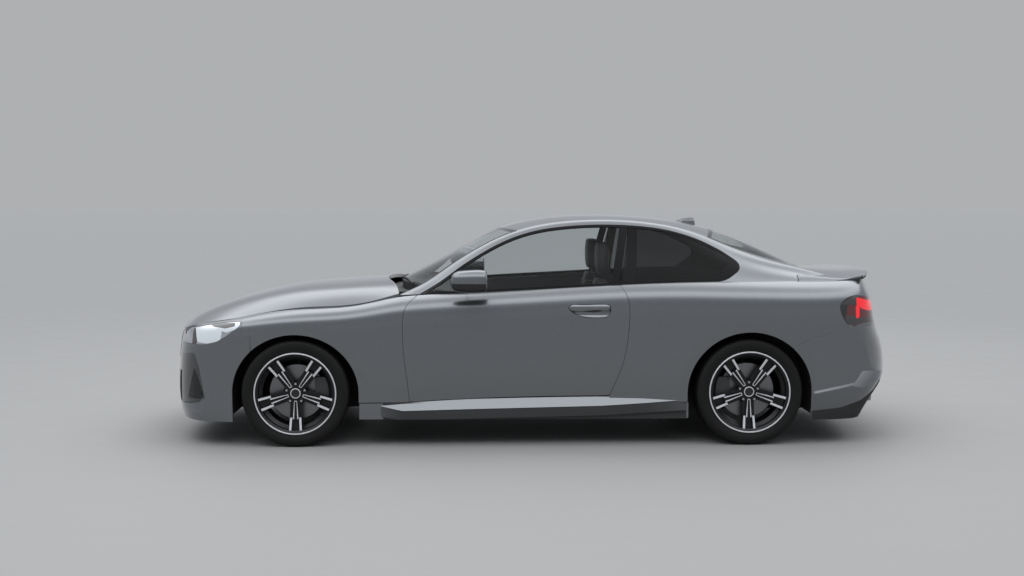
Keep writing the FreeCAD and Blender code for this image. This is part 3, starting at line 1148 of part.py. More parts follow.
def exhaust():
    """Front pipe, silencer with its two tail pipes, and the tips."""
    start = ENGINE_REAR + SEAT_GAP
    bend_x, bend_z = PIPE_BEND
    pipe = rod((start, 0, 300), (bend_x, 0, bend_z), PIPE_R).fuse(
        [rod((bend_x, 0, bend_z), (MUFFLER_X - SEAT_GAP, 0, PIPE_END_Z), PIPE_R),
         Part.makeSphere(PIPE_R, V(bend_x, 0, bend_z))])
    pipe = pipe.cut(box(start - 50, start, -100, 100, 200, 400))
    pipe = pipe.cut(box(MUFFLER_X - SEAT_GAP, MUFFLER_X + 50, -100, 100, 100, 300))
    silencer = box(MUFFLER_X, MUFFLER_X + 500, -420, 420, 190, 320)
    silencer = silencer.makeFillet(45, [e for e in silencer.Edges
                                        if abs(e.Vertexes[0].Y - e.Vertexes[1].Y) > 50])
    tips = []
    for s in (-1, 1):
        y = s * TIP_Y
        tail_start = (MUFFLER_X + 420, s * 380, TIP_Z)
        corner = (TAIL_BEND_X, y, TIP_Z)
        hanger = box(1700, 1740, s * 300 - 20, s * 300 + 20, 318, BOOT_Z - 15 - SEAT_GAP)
        silencer = silencer.fuse([rod(tail_start, corner, TAIL_R), Part.makeSphere(TAIL_R, V(*corner)),
                                  rod(corner, (TIP_X, y, TIP_Z), TAIL_R), hanger])
        tip = rod((TIP_X + SEAT_GAP, y, TIP_Z), (TIP_END, y, TIP_Z), TIP_R)
        tips.append(tip.cut(rod((TIP_BORE_X, y, TIP_Z), (TIP_END + 20, y, TIP_Z), TIP_BORE_R)))
    save("exhaust", Part.makeCompound([pipe, silencer] + tips))


def small_pieces():
    house_face = net_face(house_net())

    def top_z(x, y):
        line = Part.makeLine(V(x, y, 700), V(x, y, 1600))
        points = house_face.common(line).Vertexes + house_face.section(line).Vertexes
        return max(p.Z for p in points)

    mirrors = []
    ball = Part.makeSphere(1.0)
    ball.rotate(V(0, 0, 0), V(0, 0, 1), 180)
    matrix = FreeCAD.Matrix()
    matrix.scale(150, 78, 66)
    shell = ball.transformGeometry(matrix)
    shell.translate(V(-352, -958, 1003))
    shell = shell.cut(box(-322, -100, -1200, -700, 800, 1200))
    shell = shell.cut(box(-330, -300, -1022, -893, 950, 1056))
    arm = rod((-440, -800, 944), (-430, -915, 978), 17)
    foot = rod((-452, -797, 920), (-440, -806, 952), 24)
    left = shell.fuse([arm, foot])
    slab = net_face(ring_net(4, 33)).extrude(V(0, 320, 0))
    glass = thick(moved_net(house_net(), -0.3), 12)
    left = largest(left.cut(slab.fuse(thick(moved_net(ring_net(4, 33), -0.3), 10))).cut(glass))
    save("left_mirror", left)
    save("right_mirror", mirror(left))

    blades = []
    for y0, y1, x0, x1 in ((-60, -560, -852, -760), (420, -40, -815, -848)):
        pts = []
        for k in range(3):
            t = k / 2.0
            x = x0 + (x1 - x0) * t + 10
            y = y0 + (y1 - y0) * t
            pts.append(V(x, y, top_z(x, y) + 5.2))
        arm = [rod(tuple(a), tuple(b), 5) for a, b in zip(pts, pts[1:])]
        end = pts[0]
        arm.append(rod((end.x, end.y, end.z - 60), (end.x, end.y, end.z + 4), 9))
        blades.append(arm[0].fuse(arm[1:]))
    glass = thick(moved_net(house_net(), -0.3), GLASS_T + 1)
    bed = thick(moved_net(house_net(), 4), 46)
    blades = [largest(b.cut(glass).cut(bed)) for b in blades]
    save("wipers", Part.makeCompound(blades))

    base_z = top_z(1030, 0)
    sections = []
    for z, x0, x1, w in ((base_z - 30, 950, 1110, 26), (base_z + 12, 972, 1106, 16),
                         (base_z + 34, 1030, 1100, 6)):
        pts = [V(x0, 0, z), V(x0 + 40, -w, z), V(x1 - 6, -w * 0.7, z), V(x1 - 6, w * 0.7, z),
               V(x0 + 40, w, z)]
        sections.append(Part.makePolygon(pts + [pts[0]]))
    fin = Part.makeLoft(sections, True, True).cut(thick(moved_net(house_net(), -0.3), 60))
    save("roof_aerial", largest(fin))

    exhaust()


if __name__ == "__main__":
    front_hole = arch(FRONT_X, ARCH_HALF_F, ARCH_RISE_F, -1100, 1100, 100)
    rear_hole = arch(REAR_X, ARCH_HALF_R, ARCH_RISE_R, -1100, 1100, 100)
    cut_top = [top_prism(between(a, p, b, q, SEAT_GAP), 850, 1500)
               for a, p, b, q in (WINDSCREEN, ROOF, REAR_GLASS)]
    running_gear()
    structure()
    arch_liners()
    cabin()
    small_pieces()
    front_end(front_hole)
    rear_end(rear_hole)
    door, slab = side_pieces(front_hole, rear_hole, cut_top)
    save("left_door", door)
    save("right_door", mirror(door))
    tops(cut_top)
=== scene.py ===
"""Looks of the coupe, dressed over its CAD frame.  Sizes are in mm until a mesh is made."""
import math

import bpy
import numpy as np
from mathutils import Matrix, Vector


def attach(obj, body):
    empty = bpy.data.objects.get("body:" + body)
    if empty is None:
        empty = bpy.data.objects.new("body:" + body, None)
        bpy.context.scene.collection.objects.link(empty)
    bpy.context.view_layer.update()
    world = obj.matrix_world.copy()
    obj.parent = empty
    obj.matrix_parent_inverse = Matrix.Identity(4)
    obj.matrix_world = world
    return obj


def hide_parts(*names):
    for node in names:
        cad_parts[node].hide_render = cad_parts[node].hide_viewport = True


MM = 0.001
LENGTH = 4537.0
WHEEL_R = 322.0
TYRE_Y = 790.0
NOSE_X = -LENGTH / 2
TAIL_X = LENGTH / 2
FRONT_X = NOSE_X + 826.0
REAR_X = FRONT_X + 2741.0
ARCH_F = (FRONT_X, 380.0, 357.0)
ARCH_R = (REAR_X, 378.0, 366.0)
HALF_GAP = 2.0
LAMP_GAP = HALF_GAP * 0.6
ROOF_GAP = HALF_GAP * 0.5
# The fenders and quarters stay this far off the door
SHUT = 4.5
CELL = 12.0
EDGE_R = 1.6
FLANGE = 9.0
LIP_BAND = 66.0
LIP_SOFT = 16.0
LIP_TURN = 0.16
TRIM_W = 15.0
PILLAR_W = 52.0
GLASS_LIFT = -1.0
GLASS_T = 4.0
TIP_Y = 560.0
TIP_Z = 255.0
TIP_HOLE_R = 44.0
PLATE_HALF = 270.0
PLATE_Z = 510.0
PLATE_RISE = 65.0
FRIT_W = 30.0
LEAST_AREA = 1e-6
# Middle of the car, by which a surface's outer side is told
CORE_X = 1500
CORE_Z = 500


def placed(*groups):
    """Rows whose first column is measured from the place named with their group."""
    return [(start + row[0], *row[1:]) for start, rows in groups for row in rows]


# The same surfaces as the CAD part's
# Columns: x, widest y, inset of y at sill height, height of the top edge, y of the top edge,
# weight of the nose profile, weight of the tail profile
RING = placed(
    (NOSE_X, [(-8, 0, 0, 700, 0, 1, 0), (0, 180, 0, 700, 180, 1, 0), (17, 340, 0, 703, 338, 1, 0),
     (45, 485, 0, 709, 478, 1, 0), (76, 608, 0, 718, 592, 1, 0), (124, 718, 2, 727, 688, 1, 0),
     (203, 803, 4, 737, 752, 0.8, 0), (300, 850, 8, 749, 776, 0.55, 0),
     (410, 876, 12, 764, 783, 0.3, 0), (530, 897, 16, 784, 784, 0.1, 0)]),
    (FRONT_X, [
     (-150, 908, 18, 808, 783, 0, 0), (0, 914, 20, 826, 782, 0, 0), (160, 909, 20, 833, 781, 0, 0),
     (320, 898, 22, 841, 779, 0, 0), (480, 891, 24, 868, 776, 0, 0), (620, 888, 26, 898, 770, 0, 0),
     (790, 886, 28, 909, 779, 0, 0), (1020, 886, 28, 919, 791, 0, 0),
     (1290, 887, 28, 933, 798, 0, 0), (1570, 888, 28, 949, 803, 0, 0),
     (1860, 891, 28, 965, 806, 0, 0), (2140, 897, 26, 977, 808, 0, 0)]),
    (REAR_X, [
     (-350, 908, 24, 984, 806, 0, 0), (-150, 918, 22, 986, 800, 0, 0), (0, 921, 22, 987, 792, 0, 0),
     (150, 920, 22, 987, 780, 0, 0), (320, 914, 22, 986, 766, 0, 0), (480, 902, 22, 986, 752, 0, 0),
     (610, 884, 22, 988, 740, 0, 0.2), (720, 856, 20, 992, 724, 0, 0.5)]),
    (TAIL_X, [(-160, 808, 16, 998, 700, 0, 0.8), (-104, 735, 8, 1002, 655, 0, 1),
     (-68, 630, 4, 1005, 585, 0, 1), (-42, 495, 0, 1008, 470, 0, 1), (-17, 345, 0, 1010, 335, 0, 1),
     (0, 180, 0, 1011, 178, 0, 1), (8, 0, 0, 1011, 0, 0, 1)]))
# Height, distance behind the foremost or rearmost point
NOSE_PROFILE = [(150, 30), (215, 6), (290, 0), (350, 0), (445, 5), (509, 9), (572, 17), (635, 27),
                (690, 42), (720, 62), (770, 90)]
TAIL_PROFILE = [(150, 150), (245, 104), (290, 66), (330, 38), (367, 14), (395, 0), (430, 2),
                (545, 11), (594, 19), (632, 32), (670, 52), (708, 72), (780, 84), (833, 78),
                (877, 92), (934, 118), (1011, 150)]
LOWER_LEVELS = [150, 200, 280, 380, 490, 600]
UPPER_SHARES = [0.3, 0.6, 0.82, 0.94, 1.0]
LOWER_INSET = [1.7, 1.25, 1.0, 0.6, 0.2, 0.0]
UPPER_INSET = [0.0, 0.03, 0.12, 0.5, 1.0]
# Columns: x and z on the centre line, x at the side, y and z of the rail, y and z of the belt
HOUSE = [
    (-1060, 880, -900, 752, 820, 780, 780), (-960, 925, -805, 750, 862, 778, 830),
    (-860, 970, -705, 742, 905, 772, 880), (-760, 1017, -605, 722, 962, 776, 908),
    (-640, 1079, -500, 700, 1047, 782, 914), (-480, 1163, -350, 672, 1142, 790, 922),
    (-330, 1247, -215, 640, 1214, 796, 930), (-200, 1314, -105, 620, 1256, 800, 935),
    (-50, 1352, 15, 608, 1291, 803, 941), (170, 1387, 190, 602, 1320, 806, 950),
    (450, 1395, 450, 600, 1333, 809, 965), (740, 1381, 725, 604, 1315, 809, 976),
    (980, 1350, 930, 611, 1274, 804, 983), (1170, 1310, 1090, 622, 1212, 798, 985),
    (1350, 1246, 1250, 646, 1130, 790, 986), (1550, 1157, 1450, 674, 1070, 780, 987),
    (1750, 1058, 1650, 680, 1032, 762, 985), (1850, 1006, 1760, 676, 1005, 750, 975),
    (1950, 955, 1860, 670, 975, 735, 960),
]
# The roof's edge against the rail, and how far the side windows bulge
ROOF_EDGE_IN = 45
ROOF_EDGE_UP = 34
ROOF_EDGE_BACK = 0.12
SIDE_BULGE = 8
# Columns: x at the centre, z at the centre, at the ridge, at the shoulder, at the shut line
BONNET = placed(
    (NOSE_X, [(30, 694, 690, 686, 682), (62, 722, 708, 700, 692), (110, 760, 738, 722, 708),
     (190, 798, 772, 748, 722), (290, 835, 808, 776, 740), (420, 874, 850, 812, 760),
     (560, 909, 888, 850, 786), (700, 937, 917, 882, 808)]),
    (FRONT_X, [(0, 954, 935, 903, 827), (180, 966, 947, 917, 832), (360, 977, 958, 928, 846),
     (500, 985, 966, 936, 876), (600, 990, 971, 942, 905), (700, 994, 975, 946, 925)]))
BONNET_Y = (0, 200, 400, 560, 680, 748, 800)
# Columns: x at the centre, z at the centre, at y 500, at y 690
DECK = [
    (1700, 1062, 1050, 1022), (1780, 1055, 1046, 1020), (1880, 1047, 1038, 1012),
    (1980, 1042, 1030, 1004), (2070, 1038, 1026, 1000), (2130, 1039, 1032, 1008),
    (2180, 1041, 1036, 1016), (2212, 1042, 1038, 1020),
]
DECK_Y = (0, 250, 480, 600, 720)

# Side-view lines, x and z
DOOR_FRONT = [(-706, 909), (-742, 880), (-771, 850), (-789, 805), (-796, 745), (-796, 660),
              (-786, 520), (-770, 390), (-757, 268)]
DOOR_REAR = [(447, 304), (483, 382), (515, 460), (542, 560), (559, 680), (566, 790), (561, 870),
             (545, 920), (514, 968)]
# Edge of the side windows: the belt, then the roof side, the rear tip and the lower edge behind
BELT = [(-706, 909), (-513, 914), (-210, 930), (93, 946), (514, 968)]
PANE_TOP = [(-700, 911), (-576, 985), (-453, 1074), (-331, 1151), (-208, 1217), (-82, 1267),
           (42, 1299), (166, 1317), (290, 1327), (415, 1331), (539, 1329), (664, 1321), (789, 1305),
           (914, 1276), (1039, 1232), (1165, 1168)]
PANE_TIP = [(1165, 1168), (1232, 1122), (1262, 1088), (1262, 1066), (1228, 1032), (1165, 996),
           (1100, 985)]
PANE_LOW = [(1100, 985), (1000, 984), (750, 977), (514, 968)]
# Columns: x, height of the blade's inner edge, height of its outer edge
SKIRT = [(-930, 244, 240), (-800, 258, 216), (-400, 280, 226), (400, 297, 243), (650, 292, 258),
         (915, 280, 272)]
BLADE_LEAN = (0.86, 0.51)
BLADE_OUT = 905.8
BLADE_END_OUT = 873
SKIRT_IN = 854
BAND_OUT = 878.5
BAND_HIGH = 60
SILL_Z = 162
SILL_ENDS = ((FRONT_X + 382, -918), (930, REAR_X - 380))
SILL_SECTION = [(863, SILL_Z), (863, 258), (858, 262), (800, 262), (800, SILL_Z)]
# Black outline under the handle's pull and bowl: where it shows round and between them it is painted
# shade in the handle's gap and a painted shadow under the pull
HANDLE_SHADE_RIM = [[(198, 836), (214, 852), (250, 857), (420, 858), (450, 850), (455, 838), (450, 800),
                (430, 780), (400, 775), (290, 780), (240, 798), (205, 822), (198, 836)]]
HANDLE_PULL = [[(203, 836), (216, 849), (250, 853), (420, 854), (444, 848), (450, 838), (444, 826),
                (400, 821), (300, 818), (230, 818), (208, 826), (203, 836)]]
HANDLE_BOWL = [[(232, 812), (300, 811), (400, 815), (444, 820), (448, 802), (428, 784), (400, 779),
                (292, 784), (246, 800), (232, 812)]]
# Columns: x, inner and outer distance from the centre plane, lower and upper height
MIRROR = [(-503, 935, 982, 972, 1016), (-499, 914, 1000, 956, 1034), (-488, 900, 1012, 944, 1049),
          (-460, 889, 1025, 936, 1061), (-400, 882, 1034, 931, 1067), (-340, 880, 1037, 931, 1069),
          (-304, 882, 1036, 934, 1066), (-296, 886, 1032, 938, 1062)]
MIRROR_STEPS = 36
MIRROR_SEAM = 988
MIRROR_HEIGHTS = (900, 1100)
MIRROR_ROUND = 0.72
MIRROR_FOOT = [(-400, -912, 944), (-404, -880, 938), (-410, -846, 932), (-416, -806, 930)]
FOOT_SECTION = [(-9, -11), (9, -11), (13, 0), (9, 11), (-9, 11), (-13, 0)]
# Outline of the front intake facet, whose darker paint is painted shade
FRONT_FACET = [(-2165, 545), (-2060, 560), (-2028, 470), (-1996, 300), (-2030, 262), (-2165, 250)]
FRONT_WEDGE = [(-2062, 470), (-2040, 430), (-1992, 290), (-2010, 284), (-2110, 284)]
SPLITTER = [(-2170, 240), (-2030, 262), (-1996, 250), (-2000, 190), (-2080, 200)]
REAR_FACET = [(2006, 712), (2090, 716), (2240, 640), (2240, 430), (2100, 442), (2052, 470),
              (2010, 600)]
REAR_CREASE = [(1677, 322), (1949, 374), (1996, 444), (2094, 440), (2240, 400), (2240, 372),
               (2093, 376), (1999, 340), (1931, 356), (1700, 312)]
REAR_LOW = [(1664, 316), (1700, 309), (1931, 352), (1999, 337), (2093, 372), (2240, 368),
            (2240, 140), (1664, 140)]
# Near-black sheet over the rear bumper's lowest part: painted shadow under the car
REAR_SHADE = [(1664, 204), (1860, 222), (2000, 262), (2090, 318), (2130, 372), (2400, 372),
             (2400, 130), (1664, 130)]
# Lit parts of the headlamps: their glow is the running lamp's light, and their bright white also
# stands for glints on the clear lens, a painted highlight
WHITE_BLOCK = [(-2060, 712), (-1972, 716), (-1892, 716), (-1880, 690), (-1890, 640), (-1975, 622),
               (-2040, 628)]
WHITE_WEDGE = [(-1955, 742), (-1752, 762), (-1752, 720), (-1790, 712), (-1850, 690), (-1895, 702),
               (-1940, 724)]
LENS_PATCH = [(-1958, 738), (-1800, 748), (-1800, 728), (-1860, 714), (-1935, 724)]
LAMP_DIVIDE = [(-2072, 700), (-2056, 712), (-2040, 628), (-2056, 612), (-2078, 612)]
RED_BAND = [(1952, 892), (2010, 878), (2060, 868), (2400, 858), (2400, 800), (2100, 806),
            (2030, 812), (1988, 824), (1972, 838), (1952, 838)]
RED_LEG = [(1946, 842), (1972, 842), (1970, 772), (1948, 766)]
SMOKED = [(1850, 850), (1960, 912), (1985, 905), (1972, 896), (1950, 892), (1950, 850)]
LAMP_LOW = [(1876, 784), (1944, 780), (1972, 770), (2400, 772), (2400, 738), (1960, 725),
            (1880, 725)]
OVER_LAMP = [(1930, 906), (2160, 906), (2300, 906), (2300, 860), (1990, 860), (1930, 895)]
SIDEWALL = [(229, 97), (240, 98.6), (247.5, 99.4), (249, 101.4), (252, 102.4), (262, 106.4),
            (276, 110.6), (288, 112), (297, 111.2), (298.5, 110), (300.5, 110.4), (305, 109),
            (311, 106), (316, 101), (319.5, 94), (321, 87), (321.8, 78)]
GROOVES = ((-62, 4.5), (-24, 5.5), (24, 5.5), (62, 4.5))
GROOVE_DEEP = 7.0
RIM_RING = [(238.6, 102.0), (239.4, 106.2), (240.2, 106.9), (246.2, 106.9), (247.2, 106.0),
            (247.4, 101.0)]
# Radius and distance outwards of the spokes' tops
SPOKE_TOP = [(40, 78), (146, 80), (230, 97), (241, 99.3)]
# Radius and the two sides' distances from the spoke's middle line
OUTER_BAR = [(146, 20.4, 33.6), (230, 25.4, 39.6), (240.5, 26.0, 40.3)]
INNER_LINE = [(46, 5.4, 8.6), (100, 7.4, 13.0), (155, 9.2, 16.8)]
HUB_STRIP = [(45, -8.5, 8.5), (49, -8.8, 8.8)]
CAP_FACE = [(0.2, 82.0), (14, 81.8), (25, 80.9)]
CAP_RING = [(25, 80.4), (26, 82.2), (29.6, 82.2), (31.2, 80.2), (31.2, 77)]
DISC_FACE = [(78, -3.4), (165, -3.4), (168.4, -5.5), (168.4, -28)]
NUT_R = 57.0
NUT = [(8.6, 66), (8.6, 73), (6.6, 76)]
B_LOW = (514, 968)
B_TOP = (588, 1326)
TIP_TRIM = [(1196, 1085), (1086, 995), (1086, 940), (1400, 940), (1400, 1130), (1186, 1130)]
LAMP_UNDER = [(-1825, 685), (-1886, 646), (-1947, 620), (-2008, 612)]
HEADLAMP = [[(-2150, 703), (-2074, 714), (-1946, 737), (-1855, 749), (-1776, 758)],
            [(-1764, 748), (-1776, 722)], LAMP_UNDER, (-2400, 612), (-2400, 690)]
LAMP_HOUSING = [(-1764, 830), (-1764, 748), [(-1776, 722)] + LAMP_UNDER, (-2400, 612),
                (-2400, 830)]
TAIL_LAMP = [[(1866, 876), (1908, 897), (1958, 906)], [(2030, 892), (2099, 874)], (2400, 868),
             (2400, 741), [(2040, 741), (1990, 735), (1936, 719)], (1888, 731),
             [(1862, 772), (1846, 812), (1843, 846)]]
SIDE_INTAKE = [(-2100, 440), [(-2062, 390), (-2040, 320), (-2022, 245)], (-2400, 245),
               (-2400, 440)]
LAMP_INNER_F = 470
LAMP_INNER_R = 430
INTAKE_INNER = 585
LID_HALF = 606
LID_LOW = 424
LID_FRONT = 1756
LID_END = 2300
LID_BACK_X = 2000
LID_BACK = [(LID_LOW, 744), (LID_LOW, 904), (LID_HALF, 904), (LID_HALF, 1030)]
DECK_SIDE = (1620, 2166)
DECK_WING = (1640, 2169)
LAMP_FLOOR = 612
LAMP_TOP = 898
FACET_INNER = 430
# The openings seen from the front go this far back
OPENING_END = -2000
# Outlines of the panels from the side; FENDER_END is the seam of fender and front bumper
FENDER_END = FRONT_X - 262
FRONT_SEAM = [(FRONT_X - 264, 669), (-1761, 703), (-1761, 1000)]
REAR_SEAM = [(2040, 739.5), (1990, 733.5), (1936, 717.5)]
DOOR = [DOOR_FRONT, [(-400, 287), (447, 304)], DOOR_REAR, BELT[-2::-1]]
WINDOW = [PANE_TOP, PANE_TIP, PANE_LOW, BELT[:0:-1] + [(-700, 911)]]
WING = FRONT_SEAM + [(-830, 1000), DOOR_FRONT[0], DOOR_FRONT, (-757, 263), (-1100, 263),
                     (FENDER_END, 560)]
FRONT_PART = [(FENDER_END, 100)] + FRONT_SEAM + [(-2400, 1000), (-2400, 100)]
REAR_PART = [(2400, 100), (2400, 739.5), REAR_SEAM, (1640, 637.5), (1500, 560), (1500, 100)]
QUARTER = [DOOR_REAR, (530, 1000), (2400, 1000), (2400, 739.5), REAR_SEAM, (1640, 637.5),
           (1500, 560), (1100, 300), (930, 263), (447, 263), (447, 304)]
PILLAR = [(-712, 909), (-706, 911), BELT[1:], [(750, 977), (1000, 984), (1300, 986)],
          (1850, 965), (1850, 1500), (-842, 1500), (-842, 900)]
# Room for the hood's arms: the pillar skins stop this far out, and behind this place
ARM_Y = 668
ARM_X = -686
# The hood's edge from above, x and y
BONNET_NOSE_Y = (-640, -420, -210, 0, 210, 420, 640)
BONNET_CORNER = [(-2080, 700), (-1960, 752), (-1800, 778)]
BONNET_SIDE = [(-1800, 778), (-1442, 781), (-1000, 775), (-826, 742)]
BONNET_REAR = [(-826, 742), (-850, 600), (-890, 420), (-920, 210), (-932, 0)]
# Seen from above: x at the centre, bow at the side, of the two ends
WINDSCREEN = (-838, 150, -196, 98)
ROOF = (-196, 98, 1162, -74)
REAR_GLASS = (1162, -74, 1748, -92)
SCREEN_EDGE = [(-1000, 690), (-705, 672), (-500, 640), (-215, 585), (-60, 566), (200, 556),
               (700, 556), (1000, 562), (1300, 570), (1650, 566), (2000, 560)]
# Seen from the front: the two sides, the two heights and the cut of the corners
GRILLE_SIDES = (22, 330)
GRILLE_REST = (455, 655, 46)
LOW_INTAKE = (-500, 500, 215, 385, 40)


# Surfaces

def unit(vectors, least=1e-9):
    """Each row made one long."""
    return vectors / np.maximum(np.linalg.norm(vectors, axis=1), least)[:, None]


def columns(*parts):
    return np.stack(parts, axis=1)


def quads(index):
    """Two triangles for each cell of a grid of point numbers."""
    a, b = index[:-1, :-1].ravel(), index[1:, :-1].ravel()
    c, d = index[1:, 1:].ravel(), index[:-1, 1:].ravel()
    return np.concatenate([columns(a, b, c), columns(a, c, d)])


def lerp(table, value):
    return float(np.interp(value, [row[0] for row in table], [row[1] for row in table]))


def ring_point(col, level):
    """Pole of the body side's net: a column of RING at one of the levels."""
    x, y, inset, z_top, y_top, nose, tail = RING[col]
    if level < len(LOWER_LEVELS):
        z = LOWER_LEVELS[level]
        y_at = y - inset * LOWER_INSET[level]
    else:
        k = level - len(LOWER_LEVELS)
        base = LOWER_LEVELS[-1]
        z = base + (z_top - base) * UPPER_SHARES[k]
        y_at = y - (y - y_top) * UPPER_INSET[k]
    x += nose * lerp(NOSE_PROFILE, z) - tail * lerp(TAIL_PROFILE, z)
    return (x, y_at, z)


LEVELS = len(LOWER_LEVELS) + len(UPPER_SHARES)


def ring_net(first, last, both=False):
    """Net of the left side, or of both sides as one round the nose or the tail."""
    right = [[ring_point(c, k) for k in range(LEVELS)] for c in range(first, last)]
    left = [[(x, -y, z) for x, y, z in col] for col in right]
    if not both:
        return np.array(left, float)
    if first == 0:
        return np.array(left[:0:-1] + right, float)
    return np.array(left[:-1] + right[::-1], float)


def house_row(station):
    """Points of a section of the roof and side windows, from the centre line down to the belt."""
    xc, zc, xs, yr, zr, yb, zb = station
    rows = []
    edge_y = yr - ROOF_EDGE_IN
    edge_z = zr + ROOF_EDGE_UP
    edge_x = xs - (xs - xc) * ROOF_EDGE_BACK
    for share in (0.0, 0.38, 0.7, 0.9):
        s2 = share * share
        rise = (edge_z - zc) * s2 * (0.75 + 0.25 * share)
        rows.append((xc + (edge_x - xc) * s2, edge_y * share, zc + rise))
    rows.append((edge_x, edge_y, edge_z))
    rows += [(xs, yr - 18, zr + 18), (xs, yr, zr - 4)]
    rows += [(xs, yr + (yb - yr) * out + SIDE_BULGE, zr + (zb - zr) * down)
             for out, down in ((0.36, 0.33), (0.72, 0.67))]
    return rows + [(xs, yb, zb), (xs, yb + 12, zb - 30)]


def both_sides(half):
    left = [(x, -y, z) for x, y, z in reversed(half)]
    return left[:-1] + half


def bonnet_net():
    net = []
    for i, (x, z0, z1, z2, z3) in enumerate(BONNET):
        heights = (z0, z0 - (z0 - z1) * 0.15, z0 - (z0 - z1) * 0.45, z1, z2, (z2 + z3) / 2, z3)
        fade = max(0.0, 1 - i / 6.0)
        pull = 0.2 * fade + 0.16 * (1 - fade) * (i / 13.0)
        net.append(both_sides([(x + pull * y * y / 1000, y, z) for y, z in zip(BONNET_Y, heights)]))
    return np.array(net, float)


def deck_net():
    net = []
    for i, (x, z0, z1, z2) in enumerate(DECK):
        bend = 0.16 + 0.2 * i / (len(DECK) - 1)
        heights = (z0, z0 - (z0 - z1) * 0.25, z1, (z1 + z2) / 2, z2)
        net.append(both_sides([(x - bend * y * y / 1000, y, z) for y, z in zip(DECK_Y, heights)]))
    return np.array(net, float)


def basis(poles, t):
    """First pole and the weights of four poles at each t, for a clamped uniform cubic spline."""
    spans = poles - 3
    knots = np.concatenate([np.zeros(3), np.arange(spans + 1.0), np.full(3, float(spans))])
    first = np.clip(np.floor(t).astype(int), 0, spans - 1)
    at = first + 3
    weights = [np.ones_like(t), None, None, None]
    left = [None] + [t - knots[at + 1 - j] for j in (1, 2, 3)]
    right = [None] + [knots[at + j] - t for j in (1, 2, 3)]
    for j in (1, 2, 3):
        saved = np.zeros_like(t)
        for r in range(j):
            share = weights[r] / (right[r + 1] + left[j - r])
            weights[r] = saved + right[r + 1] * share
            saved = left[j - r] * share
        weights[j] = saved
    return first, columns(*weights)


def surface(net, uv):
    """Points of a net's surface at pairs of parameters."""
    nu, nv = net.shape[:2]
    first_u, wu = basis(nu, np.clip(uv[:, 0], 0, nu - 3))
    first_v, wv = basis(nv, np.clip(uv[:, 1], 0, nv - 3))
    out = np.zeros((len(uv), 3))
    for a in range(4):
        for b in range(4):
            out += (wu[:, a] * wv[:, b])[:, None] * net[first_u + a, first_v + b]
    return out


def normals_at(net, uv):
    nu, nv = net.shape[:2]
    step = 1e-3
    top = np.array([nu - 3.0, nv - 3.0])
    lines = []
    for axis in (0, 1):
        move = np.zeros(2)
        move[axis] = step
        ends = [surface(net, np.clip(uv + sign * move, 0, top)) for sign in (1, -1)]
        lines.append(ends[0] - ends[1])
    n = unit(np.cross(*lines), 1e-12)
    out = surface(net, uv) - (0, 0, CORE_Z)
    out[:, 0] -= np.clip(out[:, 0], -CORE_X, CORE_X)
    if (out * n).sum() < 0:
        n = -n
    return n


def start_grid(net, cell):
    """Parameter grid whose cells are near to cell wide."""
    nu, nv = net.shape[:2]
    sides = []
    for axis, poles in ((0, nu), (1, nv)):
        steps = np.linalg.norm(np.diff(net, axis=axis), axis=2)
        longest = steps.max(axis=1 - axis)
        values = [0.0]
        for span in range(poles - 3):
            size = longest[span:span + 3].max()
            parts = max(1, int(math.ceil(size / cell)))
            values += [span + (k + 1) / parts for k in range(parts)]
        sides.append(np.array(values))
    us, vs = np.meshgrid(sides[0], sides[1], indexing="ij")
    index = np.arange(us.size).reshape(us.shape)
    return columns(us.ravel(), vs.ravel()), quads(index)


def cut_mesh(uv, tris, value):
    """Keeps what has a value above zero and splits the triangles on the border."""
    inside = value > 0
    count = inside[tris].sum(axis=1)
    kept = [tris[count == 3]]
    some = tris[(count == 1) | (count == 2)]
    if len(some):
        flags = inside[some]
        single = flags.sum(axis=1) == 1
        odd = np.where(single, flags.argmax(axis=1), (~flags).argmax(axis=1))
        rows = np.arange(len(some))
        a = some[rows, odd]
        b = some[rows, (odd + 1) % 3]
        c = some[rows, (odd + 2) % 3]
        pairs = np.sort(np.concatenate([columns(a, b), columns(a, c)]), axis=1)
        keys, back = np.unique(pairs, axis=0, return_inverse=True)
        back = back.ravel()
        va = value[keys[:, 0]]
        vb = value[keys[:, 1]]
        share = (va / (va - vb))[:, None]
        fresh = uv[keys[:, 0]] * (1 - share) + uv[keys[:, 1]] * share
        base = len(uv)
        uv = np.concatenate([uv, fresh])
        ab = base + back[:len(some)]
        ac = base + back[len(some):]
        kept.append(columns(a, ab, ac)[single])
        pair = ~single
        kept.append(columns(ab, b, c)[pair])
        kept.append(columns(ab, c, ac)[pair])
    tris = np.concatenate(kept)
    used, back = np.unique(tris, return_inverse=True)
    return uv[used], back.reshape(tris.shape)


SIDE_NET = ring_net(4, 33)
NOSE_NET = ring_net(0, 16, True)
TAIL_NET = ring_net(20, 37, True)
HOUSE_NET = np.array([both_sides(house_row(station)) for station in HOUSE], float)
BONNET_NET = bonnet_net()
DECK_NET = deck_net()


# Outlines

